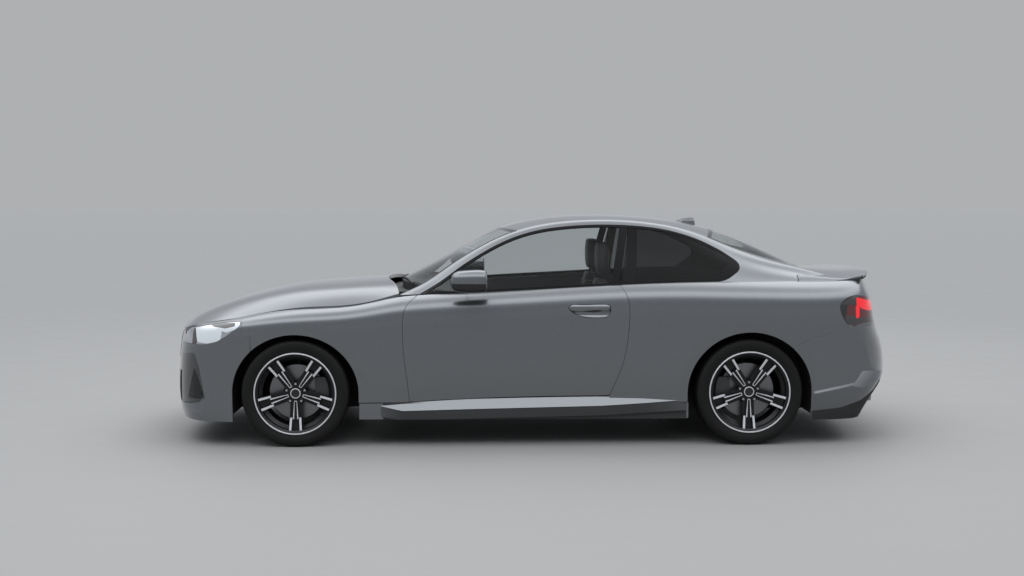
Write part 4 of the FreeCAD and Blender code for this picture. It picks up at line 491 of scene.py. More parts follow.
def smooth(points, step=9.0):
    """Points close together on a smooth curve through the given ones."""
    p = np.array(points, float)
    t = np.concatenate([[0], np.cumsum(np.linalg.norm(np.diff(p, axis=0), axis=1))])
    n = len(p)
    h = np.diff(t)
    matrix = np.zeros((n, n))
    right = np.zeros((n, p.shape[1]))
    matrix[0, 0] = matrix[-1, -1] = 1
    for i in range(1, n - 1):
        matrix[i, i - 1] = h[i - 1]
        matrix[i, i] = 2 * (h[i - 1] + h[i])
        matrix[i, i + 1] = h[i]
        right[i] = 6 * ((p[i + 1] - p[i]) / h[i] - (p[i] - p[i - 1]) / h[i - 1])
    m = np.linalg.solve(matrix, right)
    at = np.linspace(0, t[-1], max(2, int(t[-1] / step) + 1))
    k = np.clip(np.searchsorted(t, at, side="right") - 1, 0, n - 2)
    a = ((t[k + 1] - at) / h[k])[:, None]
    b = 1 - a
    bend = ((a ** 3 - a) * m[k] + (b ** 3 - b) * m[k + 1]) * (h[k] ** 2)[:, None] / 6
    return a * p[k] + b * p[k + 1] + bend


def closed_line(steps):
    """Polygon from steps: a point ends a straight run, and a list of points is a smooth curve."""
    steps = [step if isinstance(step, list) else [step] for step in steps]
    out = []
    for before, step in zip(steps[-1:] + steps[:-1], steps):
        if step[0] != before[-1]:
            step = before[-1:] + step
        points = np.array(step, float) if len(step) == 2 else smooth(step)
        out.append(points[:-1])
    return np.concatenate(out)


def depth_in(polygon, points):
    """Distance to a polygon's border, above zero inside it."""
    a = polygon
    b = np.roll(polygon, -1, axis=0)
    best = np.full(len(points), 1e18)
    inside = np.zeros(len(points), bool)
    x = points[:, 0]
    y = points[:, 1]
    for (ax, ay), (bx, by) in zip(a, b):
        dx, dy = bx - ax, by - ay
        size = dx * dx + dy * dy
        if size < 1e-12:
            continue
        t = np.clip(((x - ax) * dx + (y - ay) * dy) / size, 0, 1)
        best = np.minimum(best, (x - ax - t * dx) ** 2 + (y - ay - t * dy) ** 2)
        if ay != by:
            crosses = (ay > y) != (by > y)
            inside ^= crosses & (x < ax + (y - ay) * dx / dy)
    return np.where(inside, 1.0, -1.0) * np.sqrt(best)


# A keep takes points and gives a value that is above zero where a skin stays

def seen_along(axes):
    """Makes the function that turns an outline in the plane of two axes into a keep."""
    def keep(steps, grow=0.0):
        polygon = closed_line(steps)
        return lambda p: depth_in(polygon, p[:, axes]) + grow
    return keep


from_side = seen_along([0, 2])
from_top = seen_along([0, 1])
from_front = seen_along([1, 2])


def outside(test):
    return lambda p: -test(p)


def both_true(first, second):
    return lambda p: np.minimum(first(p), second(p))


def hole(first, second):
    """Above zero but for where both are."""
    return outside(both_true(first, second))


def beyond(half):
    """Above zero further than half from the centre plane."""
    return lambda p: np.abs(p[:, 1]) - half


def above(z):
    return lambda p: p[:, 2] - z


def behind(x):
    return lambda p: p[:, 0] - x


def in_half(p):
    return -p[:, 1] - 1.0


def off_tips(p):
    """Above zero outside the two round openings for the tail pipe tips."""
    return np.hypot(np.abs(p[:, 1]) - TIP_Y, p[:, 2] - TIP_Z) - TIP_HOLE_R


def off_plate(p):
    """Above zero outside the recess for the number plate."""
    return np.maximum(np.abs(p[:, 1]) - PLATE_HALF, np.abs(p[:, 2] - PLATE_Z) - PLATE_RISE)


def off_arch(arch, grow=0.0):
    """Above zero outside a wheel opening."""
    x0, half, rise = arch

    def test(p):
        dx = (p[:, 0] - x0) / half
        dz = np.maximum(p[:, 2] - WHEEL_R, 0) / rise
        return (np.sqrt(dx * dx + dz * dz) - 1) * min(half, rise) - grow

    return test


def before_post(move):
    """Above zero in front of the sloping line between door glass and quarter glass."""
    (x0, z0), (x1, z1) = B_LOW, B_TOP
    slope = (x1 - x0) / (z1 - z0)
    return lambda p: x0 + (p[:, 2] - z0) * slope + move - p[:, 0]


def over_belt(height):
    """Above zero more than a height over the belt line."""
    line = smooth(BELT)
    return lambda p: p[:, 2] - np.interp(p[:, 0], line[:, 0], line[:, 1]) - height


def screen_edge(x):
    return lerp(SCREEN_EDGE, x)


def across(x, bow, side):
    """Bowed line from the left edge of the screens to the right one, wider by side on each."""
    shares = [k / 3.0 for k in range(-3, 4)]
    return [(x + bow * s * s, s * (screen_edge(x + bow) + side)) for s in shares]


def between(x0, bow0, x1, bow1, ends=0.0, side=0.0):
    """Outline seen from above, between two bowed lines, made larger at the ends and sides."""
    a = across(x0 - ends, bow0, side)
    b = across(x1 + ends, bow1, side)
    reach = b[-1][0] - a[-1][0]
    mid = [(a[-1][0] + reach * s, screen_edge(a[-1][0] + reach * s) + side)
           for s in (0.25, 0.5, 0.75)]
    return [a, mid + [b[-1]], b[::-1], [(x, -y) for x, y in mid[::-1]] + [a[0]]]


def bonnet_line():
    nose = [(NOSE_X + 46 + 0.2 * y * y / 1000, y) for y in BONNET_NOSE_Y]
    corner = [nose[-1]] + BONNET_CORNER
    rear = BONNET_REAR + [(x, -y) for x, y in BONNET_REAR[-2::-1]]
    return [nose, corner, BONNET_SIDE, rear] + [[(x, -y) for x, y in part[::-1]]
                                                for part in (BONNET_SIDE, corner)]


def slat_line(y0, y1, z0, z1, cut):
    """Opening seen from the front, with cut corners."""
    return [(y0 + cut * 0.3, z0), (y1 - cut * 0.8, z0), (y1, z0 + cut * 0.8), (y1, z1 - cut),
            (y1 - cut, z1), (y0 + cut, z1), (y0, z1 - cut), (y0, z0 + cut * 0.3)]


# Meshes

def face_lines(points, tris):
    """Direction out of each triangle, twice as long as its area."""
    a, b, c = (points[tris[:, k]] for k in range(3))
    return np.cross(b - a, c - a)


def shell(net, keeps, lift=0.6, flange=FLANGE, cell=CELL, edge_r=EDGE_R, shape=None):
    """Thin skin on a surface, cut by the keeps, with rounded edges turned inwards."""
    uv, tris = start_grid(net, cell)
    for keep in keeps:
        uv, tris = cut_mesh(uv, tris, keep(surface(net, uv)))
    normals = normals_at(net, uv)
    points = surface(net, uv) + normals * lift
    if shape:
        points, normals = shape(points, normals)
    face = face_lines(points, tris)
    if (face * normals[tris[:, 0]]).sum() < 0:
        tris = tris[:, ::-1]
    tris = tris[np.linalg.norm(face, axis=1) > LEAST_AREA]
    edges = np.concatenate([tris[:, [0, 1]], tris[:, [1, 2]], tris[:, [2, 0]]])
    _, back, counts = np.unique(np.sort(edges, axis=1), axis=0, return_inverse=True,
                                return_counts=True)
    rim = edges[counts[back.ravel()] == 1]
    out = np.zeros_like(points)
    out_of = np.cross(points[rim[:, 1]] - points[rim[:, 0]], normals[rim[:, 0]])
    for k in (0, 1):
        np.add.at(out, rim[:, k], out_of)
    verts, ends = np.unique(rim, return_inverse=True)
    ends = ends.reshape(rim.shape)
    up = normals[verts]
    away = unit(out[verts] - up * (out[verts] * up).sum(axis=1)[:, None])
    turns = [math.radians(t) for t in (30, 60, 90)]
    steps = [(math.sin(t) * edge_r, -(1 - math.cos(t)) * edge_r, t) for t in turns]
    steps.append((edge_r, -edge_r - flange, turns[-1]))
    all_points, all_normals, strips = [points], [normals], [tris]
    base = verts
    count = len(points)
    for sideways, down, turn in steps:
        all_points.append(points[verts] + away * sideways + up * down)
        all_normals.append(up * math.cos(turn) + away * math.sin(turn))
        here = count + np.arange(len(verts))
        p0, p1 = base[ends].T
        q0, q1 = here[ends].T
        strips += [columns(p1, p0, q0), columns(p1, q0, q1)]
        base = here
        count += len(verts)
    return np.concatenate(all_points), np.concatenate(strips), np.concatenate(all_normals)


def arch_lip(points, normals):
    """Turns the skin's shading towards the wheel in a band round each wheel opening."""
    out = normals.copy()
    for arch in (ARCH_F, ARCH_R):
        share = np.clip((LIP_BAND - off_arch(arch)(points)) / LIP_SOFT, 0, 1)
        share = share * share * (3 - 2 * share)
        to = (arch[0], 0, WHEEL_R) - points
        to[:, 1] = 0
        out += unit(to, 1) * (LIP_TURN * share)[:, None]
    return points, unit(out)


def mirrored(part):
    points, tris, normals = part
    flip = np.array([1.0, -1.0, 1.0])
    return points * flip, tris[:, ::-1], normals * flip


def joined(parts):
    points, tris, normals = zip(*parts)
    starts = np.cumsum([0] + [len(p) for p in points[:-1]])
    tris = [t + start for t, start in zip(tris, starts)]
    return np.concatenate(points), np.concatenate(tris), np.concatenate(normals)


def linked(name, data):
    obj = bpy.data.objects.new(name, data)
    bpy.context.scene.collection.objects.link(obj)
    return obj


def place(name, part, finish="grey_paint", body="body", replaces=()):
    """Mesh object in metres from points in millimetres, triangles and shading directions."""
    points, tris, normals = part
    mesh = bpy.data.meshes.new(name)
    mesh.vertices.add(len(points))
    mesh.vertices.foreach_set("co", (np.asarray(points) * MM).astype(np.float32).ravel())
    mesh.loops.add(len(tris) * 3)
    mesh.loops.foreach_set("vertex_index", np.asarray(tris).astype(np.int32).ravel())
    mesh.polygons.add(len(tris))
    mesh.polygons.foreach_set("loop_start", np.arange(0, len(tris) * 3, 3, dtype=np.int32))
    mesh.polygons.foreach_set("use_smooth", np.ones(len(tris), bool))
    mesh.update(calc_edges=True)
    mesh.normals_split_custom_set_from_vertices(normals.tolist())
    mesh.materials.append(looks[finish])
    obj = linked(name, mesh)
    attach(obj, body)
    if replaces:
        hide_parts(*replaces)
    return obj


def place_both(name, part, finish="grey_paint", body="body", replaces=()):
    """A piece on the left and the same, mirrored, on the right.  An @ stands for the side."""
    for side, turned_part in (("left", part), ("right", mirrored(part))):
        place(name.replace("@", side), turned_part, finish, body.replace("@", side),
              [node.replace("@", side) for node in replaces])


def smooth_normals(points, tris):
    face = face_lines(points, tris)
    out = np.zeros_like(points)
    for k in range(3):
        np.add.at(out, tris[:, k], face)
    return unit(out)


def loft(rows):
    """Solid through rows of equal numbers of points, closed at both ends."""
    rows = np.array(rows, float)
    count, width = rows.shape[:2]
    index = np.arange(count * width).reshape(count, width)
    tris = [quads(np.column_stack([index, index[:, 0]]))]
    for row in (index[0], index[-1][::-1]):
        tris.append(columns(np.full(width - 2, row[0]), row[1:-1], row[2:]))
    points = rows.reshape(-1, 3)
    tris = np.concatenate(tris)
    p = points[tris]
    volume = (p[:, 0] * np.cross(p[:, 1], p[:, 2])).sum()
    if volume < 0:
        tris = tris[:, ::-1]
    return points, tris


def rounded(rows):
    """Closed smooth form through rows of points."""
    points, tris = loft(rows)
    return points, tris, smooth_normals(points, tris)


def faceted(rows):
    """Closed form through rows of points, with unshared corners, so that each face is flat."""
    points, tris = loft(rows)
    normals = np.repeat(unit(face_lines(points, tris)), 3, axis=0)
    return points[tris].reshape(-1, 3), np.arange(len(tris) * 3).reshape(-1, 3), normals


# Materials

looks = {}


def look(name, color, rough, grain=None, metal=0.0, bump=None, **more):
    """Principled material; the other settings go straight on the shader's sockets.

    Grain varies the roughness finely: scale, low and high.  Bump: strength and scale."""
    mat = bpy.data.materials.new(name)
    mat.use_nodes = True
    nodes = mat.node_tree.nodes
    links = mat.node_tree.links
    shader = nodes["Principled BSDF"]
    shader.inputs["Base Color"].default_value = (*color, 1.0)
    shader.inputs["Roughness"].default_value = rough
    shader.inputs["Metallic"].default_value = metal
    for key, value in more.items():
        shader.inputs[key.replace("_", " ")].default_value = value

    def noise(scale, detail, socket):
        node = nodes.new("ShaderNodeTexNoise")
        node.inputs["Scale"].default_value = scale
        node.inputs["Detail"].default_value = detail
        links.new(where.outputs["Object"], node.inputs["Vector"])
        links.new(node.outputs["Fac"], socket)

    if grain:
        scale, low, high = grain
        where = nodes.new("ShaderNodeTexCoord")
        ramp = nodes.new("ShaderNodeMapRange")
        ramp.inputs["To Min"].default_value = low
        ramp.inputs["To Max"].default_value = high
        noise(scale, 3.0, ramp.inputs["Value"])
        links.new(ramp.outputs["Result"], shader.inputs["Roughness"])
    if bump:
        raised = nodes.new("ShaderNodeBump")
        raised.inputs["Strength"].default_value = bump[0]
        raised.inputs["Distance"].default_value = 0.001
        noise(bump[1], 2.0, raised.inputs["Height"])
        links.new(raised.outputs["Normal"], shader.inputs["Normal"])
    looks[name] = mat
    return mat


def make_looks():
    look("grey_paint", (0.155, 0.163, 0.174), 0.27, (900.0, 0.24, 0.3), 0.85, Coat_Weight=1.0,
         Coat_Roughness=0.02, Coat_IOR=1.5)
    look("gloss_black", (0.008, 0.008, 0.009), 0.12, (40.0, 0.1, 0.16))
    look("satin_black", (0.009, 0.009, 0.010), 0.4, (60.0, 0.36, 0.46), Specular_IOR_Level=0.06)
    look("trim", (0.022, 0.022, 0.023), 0.6, (300.0, 0.5, 0.7), bump=(0.3, 1200.0))
    look("low_trim", (0.05, 0.052, 0.056), 0.45, (200.0, 0.4, 0.5))
    look("under", (0.018, 0.018, 0.018), 0.8, (60.0, 0.7, 0.95), bump=(0.3, 200.0))
    look("rubber", (0.007, 0.007, 0.007), 0.6, (150.0, 0.5, 0.7), bump=(0.2, 900.0),
         Specular_IOR_Level=0.2)
    look("alloy_black", (0.006, 0.006, 0.007), 0.3, (50.0, 0.25, 0.36), Specular_IOR_Level=0.3)
    look("alloy_bright", (0.74, 0.75, 0.77), 0.34, (120.0, 0.28, 0.42), 0.75)
    look("disc", (0.2, 0.2, 0.205), 0.35, (80.0, 0.28, 0.45), 1.0)
    look("cast", (0.08, 0.08, 0.083), 0.5, (90.0, 0.4, 0.65), 0.8, (0.2, 300.0))
    look("chassis", (0.02, 0.02, 0.021), 0.55, (60.0, 0.45, 0.7))
    look("steel", (0.5, 0.5, 0.5), 0.3, (60.0, 0.25, 0.4), 1.0)
    look("leather", (0.018, 0.018, 0.019), 0.5, (30.0, 0.42, 0.6), bump=(0.35, 700.0))
    # Darker copy of the paint for the front intake facets: painted shade on facets that face down
    look("shaded_facet_paint", (0.05, 0.053, 0.058), 0.3, (300.0, 0.26, 0.34), 0.6, Coat_Weight=0.8)
    look("mirror", (0.55, 0.57, 0.6), 0.12, metal=1.0, Coat_Weight=1.0)
    # Thin glass: its coat mirrors, and light goes through without bending
    thin = {"Transmission_Weight": 1.0, "IOR": 1.01, "Coat_Weight": 1.0, "Coat_IOR": 1.22,
            "Coat_Roughness": 0.0}
    for name, color, rough, more in (
            ("glass", (0.72, 0.78, 0.77), 0.0, thin), ("side_glass", (0.60, 0.65, 0.65), 0.0, thin),
            ("dark_glass", (0.03, 0.032, 0.035), 0.0, thin),
            ("lens", (0.95, 0.97, 1.0), 0.02, {"Transmission_Weight": 1.0, "IOR": 1.4}),
            ("light", (0.42, 0.45, 0.48), 0.25, {"Emission_Strength": 0.2, "Coat_Weight": 1.0,
                                                 "Emission_Color": (0.86, 0.94, 1.0, 1.0)}),
            ("red", (0.5, 0.004, 0.008), 0.12, {"Emission_Strength": 0.5, "Coat_Weight": 1.0,
                                                "Emission_Color": (0.9, 0.01, 0.02, 1.0)}),
            ("dark_red", (0.09, 0.004, 0.006), 0.12, {"Coat_Weight": 1.0}),
            ("smoke", (0.035, 0.03, 0.032), 0.1, {"Coat_Weight": 1.0})):
        look(name, color, rough, (8.0, rough, rough + 0.01), **more)


# Pieces of the body

def off_hood():
    return outside(from_top(bonnet_line(), HALF_GAP))


def side_skins():
    off_door = outside(from_side(DOOR, SHUT))
    door = shell(SIDE_NET, [from_side(DOOR)], shape=arch_lip)
    fender = shell(SIDE_NET, [from_side(WING, -HALF_GAP), off_arch(ARCH_F), off_hood(), off_door],
                   shape=arch_lip)
    off_lamp = hole(from_side(TAIL_LAMP, LAMP_GAP), beyond(LAMP_INNER_R))
    quarter = shell(SIDE_NET, [from_side(QUARTER, -HALF_GAP), off_arch(ARCH_R), off_lamp, off_door],
                    shape=arch_lip)
    screens = [outside(from_top(between(*area, side=ROOF_GAP)))
               for area in (WINDSCREEN, ROOF, REAR_GLASS)]
    arm_room = hole(outside(beyond(ARM_Y)), outside(behind(ARM_X)))
    pillars = shell(HOUSE_NET, [in_half, from_side(PILLAR), arm_room] + screens +
                    [outside(from_side(WINDOW))])
    place_both("@_door_skin", door, body="@_door_body")
    place_both("@_fender_skin", fender)
    place_both("@_quarter_skin", quarter)
    place_both("@_pillar_skin", pillars)


def top_skins():
    roof = from_top(between(*ROOF, ends=-HALF_GAP, side=-ROOF_GAP))
    place("roof_skin", shell(HOUSE_NET, [roof]))
    place("hood_skin", shell(BONNET_NET, [from_top(bonnet_line())]), body="hood_body")


def boot_lid_skin():
    """The lid's deck, and its upright back between the lamps."""
    front = [(LID_FRONT - 0.25 * y * y / 1000, y)
             for y in (-LID_HALF, -400, -200, 0, 200, 400, LID_HALF)]
    deck = shell(DECK_NET, [from_top([front, (LID_END, LID_HALF), (LID_END, -LID_HALF), front[0]])])
    back_line = LID_BACK + [(-y, z) for y, z in LID_BACK[::-1]]
    back = shell(TAIL_NET, [from_front(back_line), behind(LID_BACK_X)])
    place("boot_lid_skin", joined([deck, back]), body="boot_lid_body")


def bumper_skin(name, net, keeps):
    skin = shell(net, keeps, lift=0.0, flange=24.0, shape=arch_lip)
    place(name + "_skin", skin, replaces=[name])


def front_bumper():
    low, high = GRILLE_SIDES
    openings = [from_front(slat_line(*edges)) for edges in
                (LOW_INTAKE, (low, high, *GRILLE_REST), (-high, -low, *GRILLE_REST))]
    keeps = [from_side(FRONT_PART, -HALF_GAP), off_arch(ARCH_F), off_hood(),
             hole(from_side(HEADLAMP, LAMP_GAP), beyond(LAMP_INNER_F)),
             hole(from_side(SIDE_INTAKE), beyond(INTAKE_INNER))]
    keeps += [hole(opening, outside(behind(OPENING_END))) for opening in openings]
    bumper_skin("front_bumper", NOSE_NET, keeps)


def rear_bumper():
    bumper_skin("rear_bumper", TAIL_NET,
                [from_side(REAR_PART, -HALF_GAP), off_arch(ARCH_R), off_tips, off_plate])
    place("plate_seat", shell(TAIL_NET, [outside(off_plate)], lift=-14.0, flange=1.0),
          "satin_black")


def pane(keeps):
    return shell(HOUSE_NET, keeps, lift=GLASS_LIFT, flange=GLASS_T - 0.8, edge_r=0.8)


def glass_skins():
    for name, area in (("windscreen", WINDSCREEN), ("rear_window", REAR_GLASS)):
        whole = from_top(between(*area, ends=-2.0, side=-2.0))
        inner = from_top(between(*area, ends=-FRIT_W, side=-FRIT_W))
        place(name + "_skin", pane([whole]), "glass", replaces=[name])
        frit = shell(HOUSE_NET, [whole, outside(inner)], lift=GLASS_LIFT + 0.3, flange=0.5,
                     edge_r=0.4)
        place(name + "_edge", frit, "gloss_black")
    inner = [in_half, from_side(WINDOW, -TRIM_W)]
    place_both("@_door_glass_skin", pane(inner + [before_post(-3.0)]), "side_glass",
               "@_door_body", ["@_door_glass"])
    post = [in_half, from_side(WINDOW, 1 - TRIM_W), before_post(-2.5),
            outside(before_post(-PILLAR_W))]
    place_both("@_pillar_trim", shell(HOUSE_NET, post, lift=0.8, flange=2.5, edge_r=1.0),
               "satin_black", "@_door_body")
    rear = pane(inner + [outside(before_post(3.0))])
    place("quarter_glass_skins", joined([rear, mirrored(rear)]), "dark_glass",
          replaces=["quarter_glasses"])


def window_trim():
    """Black frame round the side windows: its lower front part rides on the door."""
    def strip(*keeps):
        return shell(HOUSE_NET, band + list(keeps), lift=1.2, flange=6.0, edge_r=2.0)

    band = [in_half, from_side(WINDOW, -0.4), outside(from_side(WINDOW, 1.0 - TRIM_W))]
    door = strip(both_true(before_post(0.0), outside(over_belt(TRIM_W + 1))))
    place_both("@_belt_trim", door, "satin_black", "@_door_body")
    body = strip(hole(before_post(2.0), outside(over_belt(TRIM_W + 3))))
    tip = [in_half, from_side(WINDOW, -TRIM_W), from_side(TIP_TRIM)]
    corner = shell(HOUSE_NET, tip, flange=2.0, edge_r=1.0)
    place_both("@_window_trim", joined([body, corner]), "satin_black")


def headlamps():
    wide = [beyond(LAMP_INNER_F), outside(from_top(bonnet_line(), 4.0)), above(LAMP_FLOOR)]
    black = shell(NOSE_NET, wide + [from_side(LAMP_HOUSING)], lift=-1.5, flange=20.0)
    place("headlamp_housings", black, "gloss_black", replaces=["headlamps"])
    lens_area = wide + [from_side(HEADLAMP, -3.0)]
    base = shell(NOSE_NET, lens_area, lift=-0.9, flange=1.0, edge_r=0.4)
    place("headlamp_reflectors", base, "mirror")
    for name, line, finish, lift in (
            # The blocks and wedges glow as the running lamps and also stand for glints on the lens, a
            # painted highlight
            ("blocks", WHITE_BLOCK, "light", -0.3), ("wedges", WHITE_WEDGE, "light", -0.3),
            ("patches", LENS_PATCH, "smoke", 0.1), ("divides", LAMP_DIVIDE, "smoke", 0.1)):
        piece = shell(NOSE_NET, lens_area + [from_side(line)], lift=lift, flange=0.5, edge_r=0.3)
        place("headlamp_" + name, piece, finish)


def tail_lamps():
    whole = both_true(from_side(TAIL_LAMP), beyond(LAMP_INNER_R))
    base = shell(TAIL_NET, [whole], lift=-0.6, flange=20.0)
    place("tail_lamp_bases", base, "dark_red", replaces=["tail_lamps"])
    inner = both_true(from_side(TAIL_LAMP, -4.0), beyond(LAMP_INNER_R + 4))
    for name, line, finish, lift in (
            ("bands", RED_BAND, "red", 0.5), ("legs", RED_LEG, "red", 0.5),
            ("smoked", SMOKED, "smoke", 0.3), ("lows", LAMP_LOW, "smoke", 0.3)):
        piece = shell(TAIL_NET, [inner, from_side(line)], lift=lift, flange=0.8, edge_r=0.5)
        place("tail_lamp_" + name, piece, finish)
    fill = [from_side(OVER_LAMP), beyond(LAMP_INNER_R), outside(from_side(TAIL_LAMP, 2.0)),
            hole(above(LAMP_TOP), outside(beyond(LID_HALF + 4)))]
    place("lamp_top_skins", shell(TAIL_NET, fill))


# Small pieces of the body

def skirts():
    """Painted blade and the band under it, over the CAD side frame."""
    table = np.array([(*row, BLADE_OUT if row[1] - row[2] > 12 else BLADE_END_OUT)
                      for row in SKIRT])
    steps = np.concatenate([np.linspace(a, b, 12, endpoint=False)
                            for a, b in zip(table[:-1, 0], table[1:, 0])] + [table[-1:, 0]])
    sections = [[float(np.interp(x, table[:, 0], table[:, k])) for k in range(4)] for x in steps]
    for word, side in (("left", -1), ("right", 1)):
        blade = []
        band = []
        for x, z_top, z_edge, out in sections:
            low = max(z_edge - BAND_HIGH, SILL_Z)
            blade.append([(x, side * (SKIRT_IN + 1), z_top + 2.5), (x, side * (out + 1), z_edge + 2.5),
                          (x, side * (out - 2), z_edge - 1.5), (x, side * SKIRT_IN, z_edge - 2)])
            band.append([(x, side * SKIRT_IN, z_edge - 1.6), (x, side * (out + 0.6), z_edge - 1.6),
                         (x, side * BAND_OUT, low), (x, side * (SKIRT_IN - 2), low)])
        points, tris, normals = faceted(blade)
        normals[normals[:, 2] > 0.3] = (0, side * BLADE_LEAN[0], BLADE_LEAN[1])
        place(word + "_skirt_blade", (points, tris, normals))
        place(word + "_skirt_band", faceted(band), "low_trim")
        for k, ends in enumerate(SILL_ENDS):
            rows = [[(x, side * y, z) for y, z in SILL_SECTION] for x in ends]
            place("%s_sill_end_%d" % (word, k + 1), faceted(rows))


def handle_shape(low, high, rise, tilt):
    """Lifts a handle's middle and turns its shading over its height."""
    def change(points, normals):
        share = np.clip((points[:, 2] - low) / (high - low), 0, 1)
        lift = rise * np.sin(math.pi * share)
        out = normals.copy()
        out[:, 2] += tilt * (share - 0.5) * 2
        return points + normals * lift[:, None], unit(out)
    return change


def door_handles():
    for name, line, finish, lift, flange, edge_r, shape in (
            # The black edge piece is painted shade round the handle and a painted shadow under the
            # pull
            ("edge", HANDLE_SHADE_RIM, "gloss_black", 0.9, 0.5, 0.3, None),
            ("pull", HANDLE_PULL, "grey_paint", 1.6, 0.6, 0.8, handle_shape(816, 853, 2.2, 0.45)),
            ("bowl", HANDLE_BOWL, "grey_paint", 1.4, 0.4, 0.3, handle_shape(777, 818, 0.0, -0.95))):
        part = shell(SIDE_NET, [from_side(line)], lift, flange, 6.0, edge_r, shape)
        place_both("@_handle_" + name, part, finish, body="@_door_body")


def mirror_rows(inset, low, high):
    """Sections of the mirror's housing along the car, kept between two heights."""
    rows = []
    for x, y0, y1, z0, z1 in MIRROR:
        ry, rz = (y1 - y0) / 2 - inset, (z1 - z0) / 2 - inset
        row = []
        for k in range(MIRROR_STEPS):
            a = 2 * math.pi * k / MIRROR_STEPS
            c, s = math.cos(a), math.sin(a)
            y = (y0 + y1) / 2 + ry * math.copysign(abs(c) ** MIRROR_ROUND, c)
            z = (z0 + z1) / 2 + rz * math.copysign(abs(s) ** MIRROR_ROUND, s)
            row.append((x, -y, min(max(z, low), high)))
        rows.append(row)
    return rows


def mirrors():
    lowest, highest = MIRROR_HEIGHTS
    cap = rounded(mirror_rows(0.0, MIRROR_SEAM, highest))
    base = rounded(mirror_rows(1.5, lowest, MIRROR_SEAM - 1))
    seam = rounded(mirror_rows(4.0, MIRROR_SEAM - 4, MIRROR_SEAM + 4))
    glass_row = mirror_rows(9.0, lowest, highest)[-1]
    glass = rounded([glass_row, [(x + 3.5, y, z) for x, y, z in glass_row]])
    foot = rounded([[(x, y + dy, z + dz) for dy, dz in FOOT_SECTION] for x, y, z in MIRROR_FOOT])
    place_both("@_mirror_cap", cap, body="@_door_body", replaces=["@_mirror"])
    place_both("@_mirror_base", joined([base, seam, foot]), "gloss_black",
               "@_door_body")
    place_both("@_mirror_glass", glass, "mirror", "@_door_body")


def deck_sides():
    """Shoulder between the rear quarter's top edge and the deck."""
    xs = np.linspace(*DECK_SIDE, 60)

    def edge_of(net, count, v):
        u = np.linspace(0, net.shape[0] - 3, count)
        line = surface(net, columns(u, np.full(count, v)))
        return columns(*(np.interp(xs, line[:, 0], line[:, k]) for k in range(3)))

    rows = []
    for p, q in zip(edge_of(SIDE_NET, 900, SIDE_NET.shape[1] - 3.0), edge_of(DECK_NET, 300, 0.0)):
        mid = (p + q) / 2 + np.array([0, -4.0, 3.0])
        rows.append([p + (0, -0.5, 0.4), (p + mid) / 2 + (0, -2, 1), mid,
                     (mid + q) / 2 + (0, -1, 1), q + (0, -1, 0.8), q + (0, 14.0, 1.0)])
    points = np.array(rows).reshape(-1, 3)
    tris = quads(np.arange(len(points)).reshape(len(rows), 6))
    normals = smooth_normals(points, tris)
    if normals[:, 2].sum() < 0:
        tris = tris[:, ::-1]
        normals = -normals
    part = (points, tris, normals)
    place("deck_side_skins", joined([part, mirrored(part)]))
    start, end = DECK_WING
    place("deck_wing_skins", shell(DECK_NET, [beyond(LID_HALF + 6), behind(start),
                                              outside(behind(end))]))


def turned_by(dx, dz):
    """Shading of a facet that faces another way than the skin it lies on."""
    return lambda points, normals: (points, unit(normals + (dx, 0.0, dz)))


def bumper_facets():
    for name, net, line, finish, turn in (
            # The front intake facets take the darker paint as painted shade
            ("front_intake_facets", NOSE_NET, FRONT_FACET, "shaded_facet_paint", (0.0, -0.2)),
            ("front_intakes", NOSE_NET, FRONT_WEDGE, "gloss_black", (0.0, 0.0)),
            ("front_splitters", NOSE_NET, SPLITTER, "grey_paint", (0.0, 0.3)),
            ("rear_corner_facets", TAIL_NET, REAR_FACET, "grey_paint", (0.3, -0.16)),
            ("rear_crease_facets", TAIL_NET, REAR_CREASE, "grey_paint", (0.0, 0.5)),
            ("rear_low_facets", TAIL_NET, REAR_LOW, "grey_paint", (0.0, -0.22)),
            # The rear low edges are a near-black sheet, painted shadow under the bumper
            ("rear_low_shade", TAIL_NET, REAR_SHADE, "under", (0.0, 0.0))):
        dark = line is REAR_SHADE
        keeps = [from_side(line), off_tips if dark else beyond(FACET_INNER), off_arch(ARCH_F, 3.0),
                 off_arch(ARCH_R, 3.0)]
        place(name, shell(net, keeps, lift=0.9 if dark else 0.5, flange=0.6, edge_r=0.4,
                          shape=turned_by(*turn)), finish)


# Seats

def ring_of(centre, half_a, half_b, square, count=40):
    """Points of a rounded section; half_a and half_b are its half axes."""
    a = np.linspace(0, 2 * math.pi, count, endpoint=False)
    c, s = np.cos(a), np.sin(a)
    u = np.sign(c) * np.abs(c) ** (2 / square)
    v = np.sign(s) * np.abs(s) ** (2 / square)
    return np.array(centre) + u[:, None] * np.array(half_a) + v[:, None] * np.array(half_b)


def pad(rows, square=5.0):
    """Crowned cushion through sections; rows: centre and two half axes."""
    def end_of(row, ahead):
        step = np.array(row[0], float) - np.array(ahead[0], float)
        step *= 14.0 / max(np.linalg.norm(step), 1e-6)
        return [ring_of(np.array(row[0]) + step * move, np.array(row[1]) * size,
                        np.array(row[2]) * size, square)
                for size, move in ((0.05, 1.0), (0.55, 0.97), (0.82, 0.75), (0.94, 0.42))]

    return rounded(end_of(rows[0], rows[1]) + [ring_of(*row, square) for row in rows] +
                   end_of(rows[-1], rows[-2])[::-1])


# Columns: x, z, half height
SEAT_CUSHION = [(-108, 420, 46), (-60, 430, 50), (60, 432, 46), (200, 424, 42), (270, 418, 38)]
SEAT_BOLSTER = [(-80, 405, 46), (20, 420, 52), (180, 428, 52), (268, 420, 44)]
BENCH_CUSHION = [(632, 425, 50), (700, 432, 54), (830, 424, 48), (930, 412, 42)]
